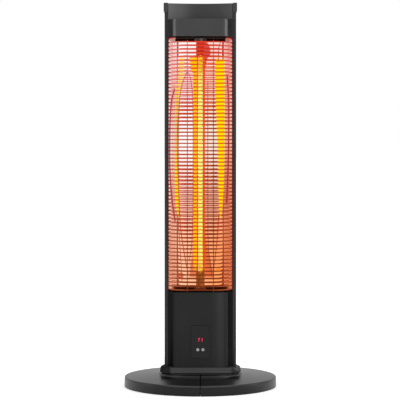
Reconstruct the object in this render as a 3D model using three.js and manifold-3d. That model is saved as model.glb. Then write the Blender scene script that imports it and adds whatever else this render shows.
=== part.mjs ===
// Infrared patio heater tower: a free-standing, two-sided quartz heater on a round base.
// Millimetres, +Z up, the front faces -Y, and the origin is at the centre of the underside.
// Two half-round base shells carry a foot plate, on which the lower housing and two side rails
// stand. The rails carry the wire guards, the top housing and the carrying handle. Behind each
// guard a quartz heating tube stands in front of its own bent reflector.

import * as THREE from "three";
import { mergeVertices } from "three/addons/utils/BufferGeometryUtils.js";
import Module from "manifold-3d";

const wasm = await Module();
wasm.setup();

// ---------------------------------------------------------------- driving dimensions

const TOTAL_HEIGHT = 908;
const GAP = 0.3; // clearance between pieces that sit on, in or beside each other
const CUT = 1; // how far a cutting solid runs past the face that it cuts
const ROUND_STEPS = 64; // sides of the large round pieces
const SMALL_STEPS = 16; // sides of the small round pieces

// Base
const BASE_RADIUS = 180;
const BASE_TOP = 24;
const BASE_RISE = 5; // how far the base's top climbs from its rim to the plinth
const BASE_EDGE_RADIUS = 3;
const BASE_WALL = 3;
const BASE_SEAM = 0.8; // the gap between the two halves
const FOOT_HEIGHT = 2;
const FOOT_RADIUS = 12;
const FOOT_INSET = 30; // from the base's edge in to the middle of a foot
const FEET_PER_HALF = 2;
const FOOT_SPREAD_DEG = 45; // each foot's angle from the left-right line
const PLINTH_RADIUS = 98;
const PLINTH_TOP = 38;
const PLINTH_EDGE_RADIUS = 3;
const SEAT_RADIUS = 68; // the plinth's raised seat under the foot plate
const LEDGE_DROP = 3; // how far the plinth's ledge lies below its seat
const CENTRE_HOLE_RADIUS = 16;
const BASE_COVER_THICKNESS = 2.5;
const BALLAST_INNER_RADIUS = 60;
const BALLAST_MARGIN = 12; // from the ballast out to the base's wall
const BALLAST_THICKNESS = 5;
const EDGE_STEPS = 2; // facets of a rounded edge
const SMALL_CHAMFER = 1; // the bevel on small turned and moulded edges

// Screws that hold the base halves to the foot plate
const BASE_SCREW_X = 45;
const BASE_SCREW_Y = 40;
const SCREW_RADIUS = 2;
const SCREW_HEAD_RADIUS = 4.5;
const SCREW_HEAD_HEIGHT = 3;

// Tower cross-section
const PANEL_HALF_WIDTH = 64.5; // the housings' front box
const PANEL_DEPTH = 68; // from the tower's middle plane to the front face
const PANEL_CORNER_RADIUS = 14;
const PANEL_CORNER_STEPS = 4;
const SHOULDER_DEPTH = 36; // the recessed strips beside the front box
const HOUSING_WALL = 2.5;
const RAIL_OUTER = 84.5;
const RAIL_THICKNESS = 8;
const RAIL_DEPTH = 33;
const RAIL_WALL = 1.6;
const RAIL_RIDGE_WIDTH = 2.4;
const RAIL_RIDGE_HEIGHT = 0.8;

// Heights of the pieces of the tower
const FOOT_PLATE_THICKNESS = 3;
const LOWER_HOUSING_HEIGHT = 186.9;
const TOP_HOUSING_HEIGHT = 41;
const HANDLE_HEIGHT = 38.7;
const HANDLE_DROP = 1; // how far the handle's top lies below the tops of the caps

// Collar round the foot of the tower: a drawn-in lip, an overhanging edge and a slope in two parts
const COLLAR_HALF_WIDTH = 95.5;
const COLLAR_HALF_DEPTH = 78;
const COLLAR_CORNER_RADIUS = 28;
const COLLAR_CORNER_STEPS = 3;
const COLLAR_PROFILE = [
  // height above the plinth's ledge, drawn in at the sides, at front and rear, and off the corner radius
  [0, 4, 4, 4],
  [3.2, 4, 4, 4],
  [4.4, 0, 0, 0],
  [5.6, 1.6, 0.3, 1.6],
  [7.2, 6, 1.4, 6],
  [9, 10.3, 2.6, 10],
  [16.5, 18.3, 7, 16],
];

// Handle and rail caps
const HANDLE_WAIST_DEPTH = 18; // half the handle's thickness at its middle
const HANDLE_CURVE_STEPS = 12;
const CAP_HEIGHT = 22;
const CAP_TOP_THICKNESS = 10;
const CAP_OVERHANG = 2.2; // how far a cap stands proud of its rail at the side
const CAP_FRONT_OVERHANG = 1.6;
const CAP_CHAMFER = 3;
const CAP_LOWER_INSET = 1.5; // how far the chamfer brings the cap's lower edge in

// Wire guards
const WIRE_COUNT = 68;
const WIRE_SIZE = 2.9;
const WIRE_END_MARGIN = 4; // from a housing to the nearest wire
const GUARD_FLAT_HALF_WIDTH = 31.5;
const GUARD_CORNER_RADIUS = 44.5;
const GUARD_CORNER_STEPS = 2;
const GUARD_BAR_WIDTH = 3;
const GUARD_BAR_DEPTH = 5;
const UPRIGHT_SIZE = 2;

// Reflectors
const REFLECTOR_THICKNESS = 0.8;
const REFLECTOR_STEPS = 20;
const REFLECTOR_PROFILE = [
  // distance from the middle of the sheet, distance from the tower's middle plane
  [0, 8],
  [14, 6],
  [31, 3.5],
  [46, 6.3],
  [58, 12.3],
  [66, 17.2],
  [69.5, 19.3],
  [75.5, 20.6],
];

// Heating elements
const TUBE_DEPTH = 34; // a tube's axis, from the tower's middle plane
const QUARTZ_RADIUS = 7;
const QUARTZ_WALL = 1.2;
const CERAMIC_RADIUS = 10;
const CERAMIC_FLANGE_RADIUS = 14;
const CERAMIC_FLANGE_HEIGHT = 5;
const CERAMIC_LENGTH = 41;
const CERAMIC_BORE_DEPTH = 10;
const COIL_RADIUS = 4.4;
const COIL_WIRE_RADIUS = 0.7;
const COIL_TURNS = 20;
const COIL_STEPS_PER_TURN = 6;
const COIL_LEAD = 12; // the straight lead at each end of the coil
const COIL_SIDES = 4;

// Element brackets
const BRACKET_THICKNESS = 2;
const LOWER_BRACKET_HALF_WIDTH = 30;
const LOWER_BRACKET_DEPTH = 52;
const UPPER_BRACKET_OVERLAP = 1.5; // how far the upper bracket reaches under the housing's wall
const UPPER_WEB_HALF_WIDTH = 59.5;
const UPPER_WEB_HEIGHT = 7.5;
const UPPER_WEB_DEPTH = 14;
const UPPER_WEB_THICKNESS = 1.5;
const CUTOUT_RADIUS = 8;
const CUTOUT_HEIGHT = 6;
const CUTOUT_X = 36;

// Control window, display and touch keys
const WINDOW_WIDTH = 44;
const WINDOW_HEIGHT = 76;
const WINDOW_DROP = 117; // from the top of the lower housing down to the window's middle
const WINDOW_THICKNESS = 3;
const WINDOW_CORNER_RADIUS = 3;
const WINDOW_PROUD = 0.3;
const KEY_RADIUS = 3.5;
const KEY_X = 6;
const KEY_DROP = 18; // from the window's middle down to the keys
const DISPLAY_WIDTH = 24;
const DISPLAY_HEIGHT = 12;
const DISPLAY_THICKNESS = 6;
const DISPLAY_RISE = 3.5; // from the window's middle up to the display's
const BOARD_THICKNESS = 1.6;
const CONTROL_BOARD_WIDTH = 40;
const CONTROL_BOARD_HEIGHT = 68;

// Power board, standing on the foot plate
const POWER_BOARD_WIDTH = 100;
const POWER_BOARD_HEIGHT = 90;
const POWER_BOARD_Y = 20;
const RELAY_SIZE = { width: 29, depth: 12, height: 24 };
const RELAY_X = -22;
const RELAY_RISE = 50;
const TERMINAL_SIZE = { width: 42, depth: 14, height: 16 };
const TERMINAL_X = 18;
const TERMINAL_RISE = 12;

// Rocker switch and cord inlet in the rear cover
const ROCKER_X = 28;
const ROCKER_RISE = 42.4; // from the bottom of the tower
const ROCKER_PIVOT_INSET = 1.5; // from the housing's face in to the rocker's axis
const ROCKER_WIDTH = 12;
const ROCKER_REACH = 10.4; // from the axis to the ends of the rocker
const ROCKER_END_RISE = 3.6;
const ROCKER_MIDDLE_RISE = 2.2;
const ROCKER_KEEL_HALF = 6;
const ROCKER_KEEL_DROP = 5;
const ROCKER_TILT_DEG = 7;
const ROCKER_AXLE_RADIUS = 1.5;
const ROCKER_AXLE_LENGTH = 0.9;
const ROCKER_SLOT_HALF = 11.5;
const ROCKER_FRAME_WALL = 1.7;
const ROCKER_FRAME_DEPTH = 16;
const ROCKER_BEZEL = 1.6;
const INLET_X = -28;
const INLET_RISE = 24.4; // from the bottom of the tower
const INLET_RADIUS = 7;
const INLET_BORE = 3.6;
const INLET_FLANGE_RADIUS = 10;
const INLET_FLANGE_HEIGHT = 3;
const INLET_INNER_LENGTH = 9;

// Tip-over switch under the foot plate
const TIP_BODY_RADIUS = 11;
const TIP_BODY_WALL = 2.5;
const TIP_FLANGE_RADIUS = 15;
const TIP_FLANGE_HEIGHT = 2.5;
const TIP_BODY_BOTTOM = 3.5;
const TIP_LIP_HEIGHT = 2;
const TIP_TRAVEL = 4;
const TIP_PLUNGER_RADIUS = 4;
const TIP_PLUNGER_CLEARANCE = 0.4;
const TIP_COLLAR_HEIGHT = 2;
const TIP_STEM_RADIUS = 3;
const TIP_STEM_LENGTH = 10;
const TIP_FLOOR_CLEARANCE = 0.1;
const SPRING_WIRE_RADIUS = 0.6;
const SPRING_TURNS = 5;
const SPRING_STEPS_PER_TURN = 8;
const SPRING_SIDES = 5;

// ---------------------------------------------------------------- derived levels

const BASE_CEILING = BASE_TOP - BASE_WALL;
const PLINTH_CEILING = PLINTH_TOP - BASE_WALL;
const LEDGE_TOP = PLINTH_TOP - LEDGE_DROP;
const BASE_COVER_TOP = FOOT_HEIGHT + BASE_COVER_THICKNESS;
const BALLAST_OUTER_RADIUS = BASE_RADIUS - BASE_WALL - BALLAST_MARGIN;
const FOOT_CIRCLE = BASE_RADIUS - FOOT_INSET;
const FOOT_PLATE_BOTTOM = PLINTH_TOP + GAP;
const FOOT_PLATE_TOP = FOOT_PLATE_BOTTOM + FOOT_PLATE_THICKNESS;
const TOWER_BOTTOM = FOOT_PLATE_TOP + GAP;
const LOWER_HOUSING_TOP = TOWER_BOTTOM + LOWER_HOUSING_HEIGHT;
const HANDLE_TOP = TOTAL_HEIGHT - HANDLE_DROP;
const TOP_HOUSING_TOP = HANDLE_TOP - HANDLE_HEIGHT - GAP;
const TOP_HOUSING_BOTTOM = TOP_HOUSING_TOP - TOP_HOUSING_HEIGHT;
const RAIL_INNER = RAIL_OUTER - RAIL_THICKNESS;
const HOUSING_SIDE = RAIL_INNER - GAP;
const RAIL_TOP = TOTAL_HEIGHT - CAP_TOP_THICKNESS - GAP;
const GUARD_BOTTOM = LOWER_HOUSING_TOP + GAP;
const GUARD_TOP = TOP_HOUSING_BOTTOM - GAP;
const LOWER_BRACKET_TOP = LOWER_HOUSING_TOP + GAP + BRACKET_THICKNESS;
const UPPER_BRACKET_TOP = TOP_HOUSING_BOTTOM - GAP;
const UPPER_BRACKET_BOTTOM = UPPER_BRACKET_TOP - BRACKET_THICKNESS;
const TUBE_BOTTOM = LOWER_BRACKET_TOP + GAP + CERAMIC_LENGTH - CERAMIC_BORE_DEPTH + GAP;
const TUBE_TOP = UPPER_BRACKET_BOTTOM - GAP - CERAMIC_LENGTH + CERAMIC_BORE_DEPTH - GAP;
const ROCKER_PIVOT_Y = PANEL_DEPTH - ROCKER_PIVOT_INSET;
const WINDOW_FRONT_Y = -PANEL_DEPTH - WINDOW_PROUD;
const WINDOW_BACK_Y = WINDOW_FRONT_Y + WINDOW_THICKNESS;
const WINDOW_CENTRE_Z = LOWER_HOUSING_TOP - WINDOW_DROP;
const KEY_Z = WINDOW_CENTRE_Z - KEY_DROP;
const DISPLAY_Z = WINDOW_CENTRE_Z + DISPLAY_RISE;
const ROCKER_Z = TOWER_BOTTOM + ROCKER_RISE;
const INLET_Z = TOWER_BOTTOM + INLET_RISE;

// ---------------------------------------------------------------- materials

function finish(color, roughness, metalness) {
  return new THREE.MeshStandardMaterial({ color, roughness, metalness });
}

const MATERIALS = {
  paintedBlack: finish(0x26272a, 0.45, 0.3),
  plasticBlack: finish(0x1e1f21, 0.5, 0),
  glossBlack: finish(0x101113, 0.12, 0),
  rubber: finish(0x151515, 0.9, 0),
  steel: finish(0x8d8f92, 0.35, 0.9),
  mirror: finish(0xe9d9cf, 0.08, 1),
  guardWire: finish(0x3a1712, 0.4, 0.6),
  quartz: finish(0xffe0b8, 0.05, 0),
  element: finish(0xffc13a, 0.6, 0.2),
  ceramic: finish(0xe8e2d6, 0.6, 0),
  board: finish(0x1f4d33, 0.6, 0),
  relay: finish(0x2b4f86, 0.5, 0),
  display: finish(0x33090c, 0.3, 0),
  icon: finish(0xb9babc, 0.4, 0),
};

// ---------------------------------------------------------------- geometry helpers

const WELD = 1e-3; // vertices closer than this are one vertex
const GAP_SAMPLES_PER_TURN = 24; // points that a wound tube's least gap is measured on
const TURN_UP = new THREE.Matrix4().makeBasis(
  new THREE.Vector3(1, 0, 0),
  new THREE.Vector3(0, 0, 1),
  new THREE.Vector3(0, -1, 0),
);
const TURN_ALONG_X = new THREE.Matrix4().makeBasis(
  new THREE.Vector3(0, 1, 0),
  new THREE.Vector3(0, 0, 1),
  new THREE.Vector3(1, 0, 0),
);

// A closed geometry as a solid that can be joined and cut.
function solidFrom(geometry) {
  const flat = geometry.index ? geometry.toNonIndexed() : geometry;
  const bare = new THREE.BufferGeometry();
  bare.setAttribute("position", flat.getAttribute("position"));
  const welded = mergeVertices(bare, WELD);
  return new wasm.Manifold(
    new wasm.Mesh({
      numProp: 3,
      vertProperties: welded.getAttribute("position").array,
      triVerts: new Uint32Array(welded.index.array),
    }),
  );
}

function geometryFrom(solid) {
  const mesh = solid.getMesh();
  const geometry = new THREE.BufferGeometry();
  geometry.setAttribute("position", new THREE.BufferAttribute(mesh.vertProperties, 3));
  geometry.setIndex(new THREE.BufferAttribute(mesh.triVerts, 1));
  geometry.computeVertexNormals();
  return geometry;
}

function join(...geometries) {
  return geometryFrom(geometries.map(solidFrom).reduce((a, b) => a.add(b)));
}

function cut(geometry, ...tools) {
  const start = solidFrom(geometry);
  return geometryFrom(tools.map(solidFrom).reduce((a, b) => a.subtract(b), start));
}

function overlapOf(a, b) {
  return geometryFrom(solidFrom(a).intersect(solidFrom(b)));
}

function box(x0, x1, y0, y1, z0, z1) {
  const geometry = new THREE.BoxGeometry(x1 - x0, y1 - y0, z1 - z0);
  return geometry.translate((x0 + x1) / 2, (y0 + y1) / 2, (z0 + z1) / 2);
}

function cylinder(radius, z0, z1, x = 0, y = 0, steps = SMALL_STEPS) {
  const geometry = new THREE.CylinderGeometry(radius, radius, z1 - z0, steps);
  return geometry.applyMatrix4(TURN_UP).translate(x, y, (z0 + z1) / 2);
}

// A round pin whose axis runs along Y.
function pinAlongY(radius, y0, y1, x, z) {
  const geometry = new THREE.CylinderGeometry(radius, radius, y1 - y0, SMALL_STEPS);
  return geometry.translate(x, (y0 + y1) / 2, z);
}

// A round pin whose axis runs along X.
function pinAlongX(radius, x0, x1, y, z) {
  const geometry = new THREE.CylinderGeometry(radius, radius, x1 - x0, SMALL_STEPS);
  return geometry.rotateZ(Math.PI / 2).translate((x0 + x1) / 2, y, z);
}

// A plan outline, given as [x, y] points, raised from z0 to z1.
function prism(points, z0, z1) {
  const shape = new THREE.Shape(points.map(([x, y]) => new THREE.Vector2(x, y)));
  const geometry = new THREE.ExtrudeGeometry(shape, { depth: z1 - z0, bevelEnabled: false });
  return geometry.translate(0, 0, z0);
}

// An outline in the X-Z plane, run from y0 to y1.
function prismAlongY(points, y0, y1) {
  const shape = new THREE.Shape(points.map(([x, z]) => new THREE.Vector2(x, z)));
  const geometry = new THREE.ExtrudeGeometry(shape, { depth: y1 - y0, bevelEnabled: false });
  return geometry.applyMatrix4(TURN_UP).translate(0, y1, 0);
}

// An outline in the Y-Z plane, run from x0 to x1.
function prismAlongX(points, x0, x1) {
  const shape = new THREE.Shape(points.map(([y, z]) => new THREE.Vector2(y, z)));
  const geometry = new THREE.ExtrudeGeometry(shape, { depth: x1 - x0, bevelEnabled: false });
  return geometry.applyMatrix4(TURN_ALONG_X).translate(x0, 0, 0);
}

// A profile of [radius, height] points, from the bottom outwards and up, turned about Z.
function turned(profile, steps = SMALL_STEPS) {
  const points = profile.map(([radius, height]) => new THREE.Vector2(radius, height));
  return new THREE.LatheGeometry(points, steps).applyMatrix4(TURN_UP);
}

// Points on an arc about a centre, from one angle to another, both ends included.
function arc(centreX, centreY, radius, fromDeg, toDeg, steps) {
  const points = [];
  for (let i = 0; i <= steps; i += 1) {
    const angle = THREE.MathUtils.degToRad(fromDeg + ((toDeg - fromDeg) * i) / steps);
    points.push([centreX + radius * Math.cos(angle), centreY + radius * Math.sin(angle)]);
  }
  return points;
}

function roundedRectangle(halfWidth, halfDepth, radius, steps) {
  const x = halfWidth - radius;
  const y = halfDepth - radius;
  return [
    ...arc(x, y, radius, 0, 90, steps),
    ...arc(-x, y, radius, 90, 180, steps),
    ...arc(-x, -y, radius, 180, 270, steps),
    ...arc(x, -y, radius, 270, 360, steps),
  ];
}

// Stacked convex outlines of equal point count, skinned and closed at both ends.
function loft(outlines) {
  const count = outlines[0].points.length;
  const positions = [];
  const corner = (ring, i) => {
    const [x, y] = outlines[ring].points[i % count];
    return [x, y, outlines[ring].z];
  };
  const triangle = (...corners) => positions.push(...corners.flat());
  const last = outlines.length - 1;
  for (let ring = 0; ring < last; ring += 1) {
    for (let i = 0; i < count; i += 1) {
      triangle(corner(ring, i), corner(ring, i + 1), corner(ring + 1, i + 1));
      triangle(corner(ring, i), corner(ring + 1, i + 1), corner(ring + 1, i));
    }
  }
  for (let i = 1; i < count - 1; i += 1) {
    triangle(corner(0, 0), corner(0, i + 1), corner(0, i));
    triangle(corner(last, 0), corner(last, i), corner(last, i + 1));
  }
  const geometry = new THREE.BufferGeometry();
  geometry.setAttribute("position", new THREE.Float32BufferAttribute(positions, 3));
  return geometry;
}

// The reflection of a piece in the plane between the front and the rear of the tower.
function toRear(geometry) {
  const mirrored = geometry.clone().scale(1, -1, 1);
  return flipFaces(mirrored);
}

// The reflection of a piece in the plane between the left and the right of the tower.
function toRight(geometry) {
  const mirrored = geometry.clone().scale(-1, 1, 1);
  return flipFaces(mirrored);
}

function flipFaces(geometry) {
  const flipped = geometry.index ? geometry.toNonIndexed() : geometry;
  const position = flipped.getAttribute("position");
  const first = new THREE.Vector3();
  const second = new THREE.Vector3();
  for (let i = 0; i < position.count; i += 3) {
    first.fromBufferAttribute(position, i + 1);
    second.fromBufferAttribute(position, i + 2);
    position.setXYZ(i + 1, second.x, second.y, second.z);
    position.setXYZ(i + 2, first.x, first.y, first.z);
  }
  flipped.computeVertexNormals();
  return flipped;
}

// ---------------------------------------------------------------- outlines of the tower

// The front half of the tower's cross-section from the middle plane to the front face: a box with
// rounded corners and a recessed shoulder each side. A positive offset grows it, and middleY is
// where it stops at the middle plane.
function housingOutline(offset, sideX, middleY) {
  const side = sideX + offset;
  const shoulder = SHOULDER_DEPTH + offset;
  const panel = PANEL_HALF_WIDTH + offset;
  const centreX = PANEL_HALF_WIDTH - PANEL_CORNER_RADIUS;
  const centreY = PANEL_DEPTH - PANEL_CORNER_RADIUS;
  const radius = PANEL_CORNER_RADIUS + offset;
  return [
    [-side, middleY],
    [-side, -shoulder],
    [-panel, -shoulder],
    ...arc(-centreX, -centreY, radius, 180, 270, PANEL_CORNER_STEPS),
    ...arc(centreX, -centreY, radius, 270, 360, PANEL_CORNER_STEPS),
    [panel, -shoulder],
    [side, -shoulder],
    [side, middleY],
  ];
}

// The whole cross-section at the foot, with the rails: the space that the collar goes round.
function towerOutline(offset) {
  const rail = RAIL_OUTER + offset;
  const railDepth = RAIL_DEPTH + RAIL_RIDGE_HEIGHT + offset;
  const front = housingOutline(offset, HOUSING_SIDE, -railDepth);
  const rear = front.map(([x, y]) => [-x, -y]);
  return [
    [-rail, -railDepth],
    ...front,
    [rail, -railDepth],
    [rail, railDepth],
    ...rear,
    [-rail, railDepth],
  ];
}

// ---------------------------------------------------------------- base

const SEAM_X = -BASE_SEAM / 2; // where the left half ends

// Everything left of the seam, between two heights.
function leftOfSeam(z0, z1, inset = 0) {
  const reach = BASE_RADIUS + CUT;
  return box(-reach, SEAM_X - inset, -reach, reach, z0, z1);
}

function screwPlaces() {
  return [
    [-BASE_SCREW_X, -BASE_SCREW_Y],
    [-BASE_SCREW_X, BASE_SCREW_Y],
    [BASE_SCREW_X, -BASE_SCREW_Y],
    [BASE_SCREW_X, BASE_SCREW_Y],
  ];
}

function screwHoles(z0, z1) {
  return screwPlaces().map(([x, y]) => cylinder(SCREW_RADIUS + GAP, z0, z1, x, y));
}

function baseHalf() {
  const plinthEdge = PLINTH_RADIUS - PLINTH_EDGE_RADIUS;
  const rimEdge = BASE_RADIUS - BASE_EDGE_RADIUS;
  const inner = BASE_RADIUS - BASE_WALL;
  const innerPlinth = PLINTH_RADIUS - BASE_WALL;
  const innerSeat = SEAT_RADIUS - BASE_WALL;
  const ledgeCeiling = LEDGE_TOP - BASE_WALL;
  const shell = turned(
    [
      [CENTRE_HOLE_RADIUS, PLINTH_CEILING],
      [innerSeat, PLINTH_CEILING],
      [innerSeat, ledgeCeiling],
      [innerPlinth, ledgeCeiling],
      [innerPlinth, BASE_CEILING + BASE_RISE],
      [inner, BASE_CEILING],
      [inner, FOOT_HEIGHT],
      [BASE_RADIUS, FOOT_HEIGHT],
      ...arc(rimEdge, BASE_TOP - BASE_EDGE_RADIUS, BASE_EDGE_RADIUS, 0, 90, EDGE_STEPS),
      [PLINTH_RADIUS, BASE_TOP + BASE_RISE],
      ...arc(plinthEdge, LEDGE_TOP - PLINTH_EDGE_RADIUS, PLINTH_EDGE_RADIUS, 0, 90, EDGE_STEPS),
      [SEAT_RADIUS, LEDGE_TOP],
      [SEAT_RADIUS, PLINTH_TOP],
      [CENTRE_HOLE_RADIUS, PLINTH_TOP],
      [CENTRE_HOLE_RADIUS, PLINTH_CEILING],
    ],
    ROUND_STEPS,
  );
  const half = overlapOf(shell, leftOfSeam(0, PLINTH_TOP + CUT));
  const bottom = BASE_COVER_TOP + GAP;
  const intoWall = BASE_WALL / 2;
  const core = turned(
    [
      [0, bottom],
      [inner + intoWall, bottom],
      [inner + intoWall, BASE_CEILING + intoWall],
      [innerPlinth + intoWall, BASE_CEILING + BASE_RISE + intoWall],
      [innerPlinth + intoWall, ledgeCeiling + intoWall],
      [innerSeat + intoWall, ledgeCeiling + intoWall],
      [innerSeat + intoWall, PLINTH_CEILING + intoWall],
      [0, PLINTH_CEILING + intoWall],
    ],
    ROUND_STEPS,
  );
  const seamWall = overlapOf(
    core,
    box(SEAM_X - BASE_WALL, SEAM_X, -BASE_RADIUS, BASE_RADIUS, 0, PLINTH_TOP),
  );
  const centreHole = cylinder(CENTRE_HOLE_RADIUS, 0, PLINTH_TOP + CUT, 0, 0, ROUND_STEPS);
  return cut(join(half, seamWall), centreHole, ...screwHoles(BASE_TOP, PLINTH_TOP + CUT));
}

function baseCover() {
  const outer = BASE_RADIUS - BASE_WALL - GAP;
  const disc = turned(
    [
      [CENTRE_HOLE_RADIUS, FOOT_HEIGHT],
      [outer, FOOT_HEIGHT],
      [outer, BASE_COVER_TOP],
      [CENTRE_HOLE_RADIUS, BASE_COVER_TOP],
      [CENTRE_HOLE_RADIUS, FOOT_HEIGHT],
    ],
    ROUND_STEPS,
  );
  return overlapOf(disc, leftOfSeam(0, BASE_COVER_TOP + CUT));
}

function ballast() {
  const bottom = BASE_COVER_TOP + GAP;
  const top = bottom + BALLAST_THICKNESS;
  const ring = turned(
    [
      [BALLAST_INNER_RADIUS, bottom],
      [BALLAST_OUTER_RADIUS, bottom],
      [BALLAST_OUTER_RADIUS, top],
      [BALLAST_INNER_RADIUS, top],
      [BALLAST_INNER_RADIUS, bottom],
    ],
    ROUND_STEPS,
  );
  return overlapOf(ring, leftOfSeam(0, top + CUT, BASE_WALL + GAP));
}

function foot(index) {
  const side = index < FEET_PER_HALF ? 180 : 0;
  const turn = (index % FEET_PER_HALF === 0 ? -1 : 1) * FOOT_SPREAD_DEG;
  const angle = THREE.MathUtils.degToRad(side + turn);
  const x = FOOT_CIRCLE * Math.cos(angle);
  const y = FOOT_CIRCLE * Math.sin(angle);
  return cylinder(FOOT_RADIUS, 0, FOOT_HEIGHT, x, y);
}

function baseScrew([x, y]) {
  const headTop = PLINTH_CEILING - GAP;
  const headBottom = headTop - SCREW_HEAD_HEIGHT;
  const screw = turned([
    [0, headBottom],
    [SCREW_HEAD_RADIUS, headBottom],
    [SCREW_HEAD_RADIUS, headTop],
    [SCREW_RADIUS, headTop],
    [SCREW_RADIUS, FOOT_PLATE_TOP],
    [0, FOOT_PLATE_TOP],
  ]);
  return screw.translate(x, y, 0);
}

function footPlate() {
  const plate = prism(towerOutline(0), FOOT_PLATE_BOTTOM, FOOT_PLATE_TOP);
  const holes = screwHoles(FOOT_PLATE_BOTTOM - CUT, FOOT_PLATE_TOP + CUT);
  const leadHole = cylinder(SCREW_HEAD_RADIUS, FOOT_PLATE_BOTTOM - CUT, FOOT_PLATE_TOP + CUT);
  return cut(plate, leadHole, ...holes);
}

// The collar's outline at one level, drawn in from its widest one.
function collarSection([height, insetX, insetY, insetRadius]) {
  const halfWidth = COLLAR_HALF_WIDTH - insetX;
  const halfDepth = COLLAR_HALF_DEPTH - insetY;
  const radius = COLLAR_CORNER_RADIUS - insetRadius;
  return {
    z: LEDGE_TOP + GAP + height,
    points: roundedRectangle(halfWidth, halfDepth, radius, COLLAR_CORNER_STEPS),
  };
}

function collar() {
  const sections = COLLAR_PROFILE.map(collarSection);
  const bottom = sections[0].z;
  const top = sections[sections.length - 1].z;
  return cut(loft(sections), prism(towerOutline(GAP), bottom - CUT, top + CUT));
}

// ---------------------------------------------------------------- tip-over switch

const TIP_CHAMBER_RADIUS = TIP_BODY_RADIUS - TIP_BODY_WALL;
const TIP_CHAMBER_BOTTOM = TIP_BODY_BOTTOM + TIP_LIP_HEIGHT;
const TIP_FLANGE_TOP = FOOT_PLATE_BOTTOM - GAP;
const TIP_CHAMBER_TOP = TIP_FLANGE_TOP - TIP_FLANGE_HEIGHT;
const TIP_COLLAR_BOTTOM = TIP_CHAMBER_BOTTOM + TIP_TRAVEL + GAP;
const TIP_COLLAR_TOP = TIP_COLLAR_BOTTOM + TIP_COLLAR_HEIGHT;

function tipSwitchBody() {
  const bore = TIP_PLUNGER_RADIUS + TIP_PLUNGER_CLEARANCE;
  return turned([
    [bore, TIP_BODY_BOTTOM],
    [TIP_BODY_RADIUS, TIP_BODY_BOTTOM],
    [TIP_BODY_RADIUS, TIP_CHAMBER_TOP],
    [TIP_FLANGE_RADIUS, TIP_CHAMBER_TOP],
    [TIP_FLANGE_RADIUS, TIP_FLANGE_TOP],
    [0, TIP_FLANGE_TOP],
    [0, TIP_CHAMBER_TOP],
    [TIP_CHAMBER_RADIUS, TIP_CHAMBER_TOP],
    [TIP_CHAMBER_RADIUS, TIP_CHAMBER_BOTTOM],
    [bore, TIP_CHAMBER_BOTTOM],
    [bore, TIP_BODY_BOTTOM],
  ]);
}

function tipPlunger() {
  const collarRadius = TIP_CHAMBER_RADIUS - TIP_PLUNGER_CLEARANCE;
  return turned([
    [0, TIP_FLOOR_CLEARANCE],
    [TIP_PLUNGER_RADIUS - SMALL_CHAMFER, TIP_FLOOR_CLEARANCE],
    [TIP_PLUNGER_RADIUS, TIP_FLOOR_CLEARANCE + SMALL_CHAMFER],
    [TIP_PLUNGER_RADIUS, TIP_COLLAR_BOTTOM],
    [collarRadius, TIP_COLLAR_BOTTOM],
    [collarRadius, TIP_COLLAR_TOP],
    [TIP_STEM_RADIUS, TIP_COLLAR_TOP],
    [TIP_STEM_RADIUS, TIP_COLLAR_TOP + TIP_STEM_LENGTH],
    [0, TIP_COLLAR_TOP + TIP_STEM_LENGTH],
  ]);
}

// A helix about Z whose first and last stretches run straight along it.
class WoundPath extends THREE.Curve {
  constructor({ radius, turns, z0, z1, lead, x = 0, y = 0 }) {
    super();
    Object.assign(this, { radius, turns, z0, z1, lead, x, y });
  }

  getPoint(t, target = new THREE.Vector3()) {
    const z = this.z0 + (this.z1 - this.z0) * t;
    const coilStart = this.z0 + this.lead;
    const coilEnd = this.z1 - this.lead;
    const along = THREE.MathUtils.clamp((z - coilStart) / (coilEnd - coilStart), 0, 1);
    const turn = along * this.turns;
    const fromEnd = Math.min(turn, this.turns - turn);
    const radius = this.radius * THREE.MathUtils.smoothstep(fromEnd, 0, 1);
    const angle = 2 * Math.PI * turn;
    const x = this.x + radius * Math.cos(angle);
    const y = this.y + radius * Math.sin(angle);
    return target.set(x, y, z);
  }

  // Equal steps of height rather than of length, so that every turn gets the same facets.
  getPointAt(t, target) {
    return this.getPoint(t, target);
  }

  getTangentAt(t, target) {
    return this.getTangent(t, target);
  }
}

function woundTube(path, wireRadius, sides, steps) {
  const section = new THREE.Shape(
    arc(0, 0, wireRadius, 0, 360 - 360 / sides, sides - 1).map(([x, y]) => new THREE.Vector2(x, y)),
  );
  return new THREE.ExtrudeGeometry(section, { steps, extrudePath: path, bevelEnabled: false });
}

// Prints the least distance between neighbouring turns of a wound path, less the wire's thickness.
function reportLeastGap(name, path, turns, wireRadius) {
  const count = turns * GAP_SAMPLES_PER_TURN;
  const points = Array.from({ length: count + 1 }, (_, i) => path.getPoint(i / count));
  let least = Infinity;
  for (let i = 0; i <= count; i += 1) {
    const last = Math.min(count, i + 2 * GAP_SAMPLES_PER_TURN);
    for (let j = i + GAP_SAMPLES_PER_TURN / 2; j <= last; j += 1) {
      least = Math.min(least, points[i].distanceTo(points[j]));
    }
  }
  console.log(`least gap of ${name} to itself: ${(least - 2 * wireRadius).toFixed(2)} mm`);
}

function tipSpring() {
  const z0 = TIP_COLLAR_TOP + GAP + SPRING_WIRE_RADIUS;
  const z1 = TIP_CHAMBER_TOP - GAP - SPRING_WIRE_RADIUS;
  const radius = (TIP_STEM_RADIUS + TIP_CHAMBER_RADIUS) / 2;
  const steps = SPRING_TURNS * SPRING_STEPS_PER_TURN;
  const points = [];
  for (let i = 0; i <= steps; i += 1) {
    const angle = (2 * Math.PI * i) / SPRING_STEPS_PER_TURN;
    const z = z0 + ((z1 - z0) * i) / steps;
    points.push(new THREE.Vector3(radius * Math.cos(angle), radius * Math.sin(angle), z));
  }
  const path = new THREE.CatmullRomCurve3(points);
  reportLeastGap("the tip switch spring", path, SPRING_TURNS, SPRING_WIRE_RADIUS);
  return woundTube(path, SPRING_WIRE_RADIUS, SPRING_SIDES, steps);
}

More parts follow.
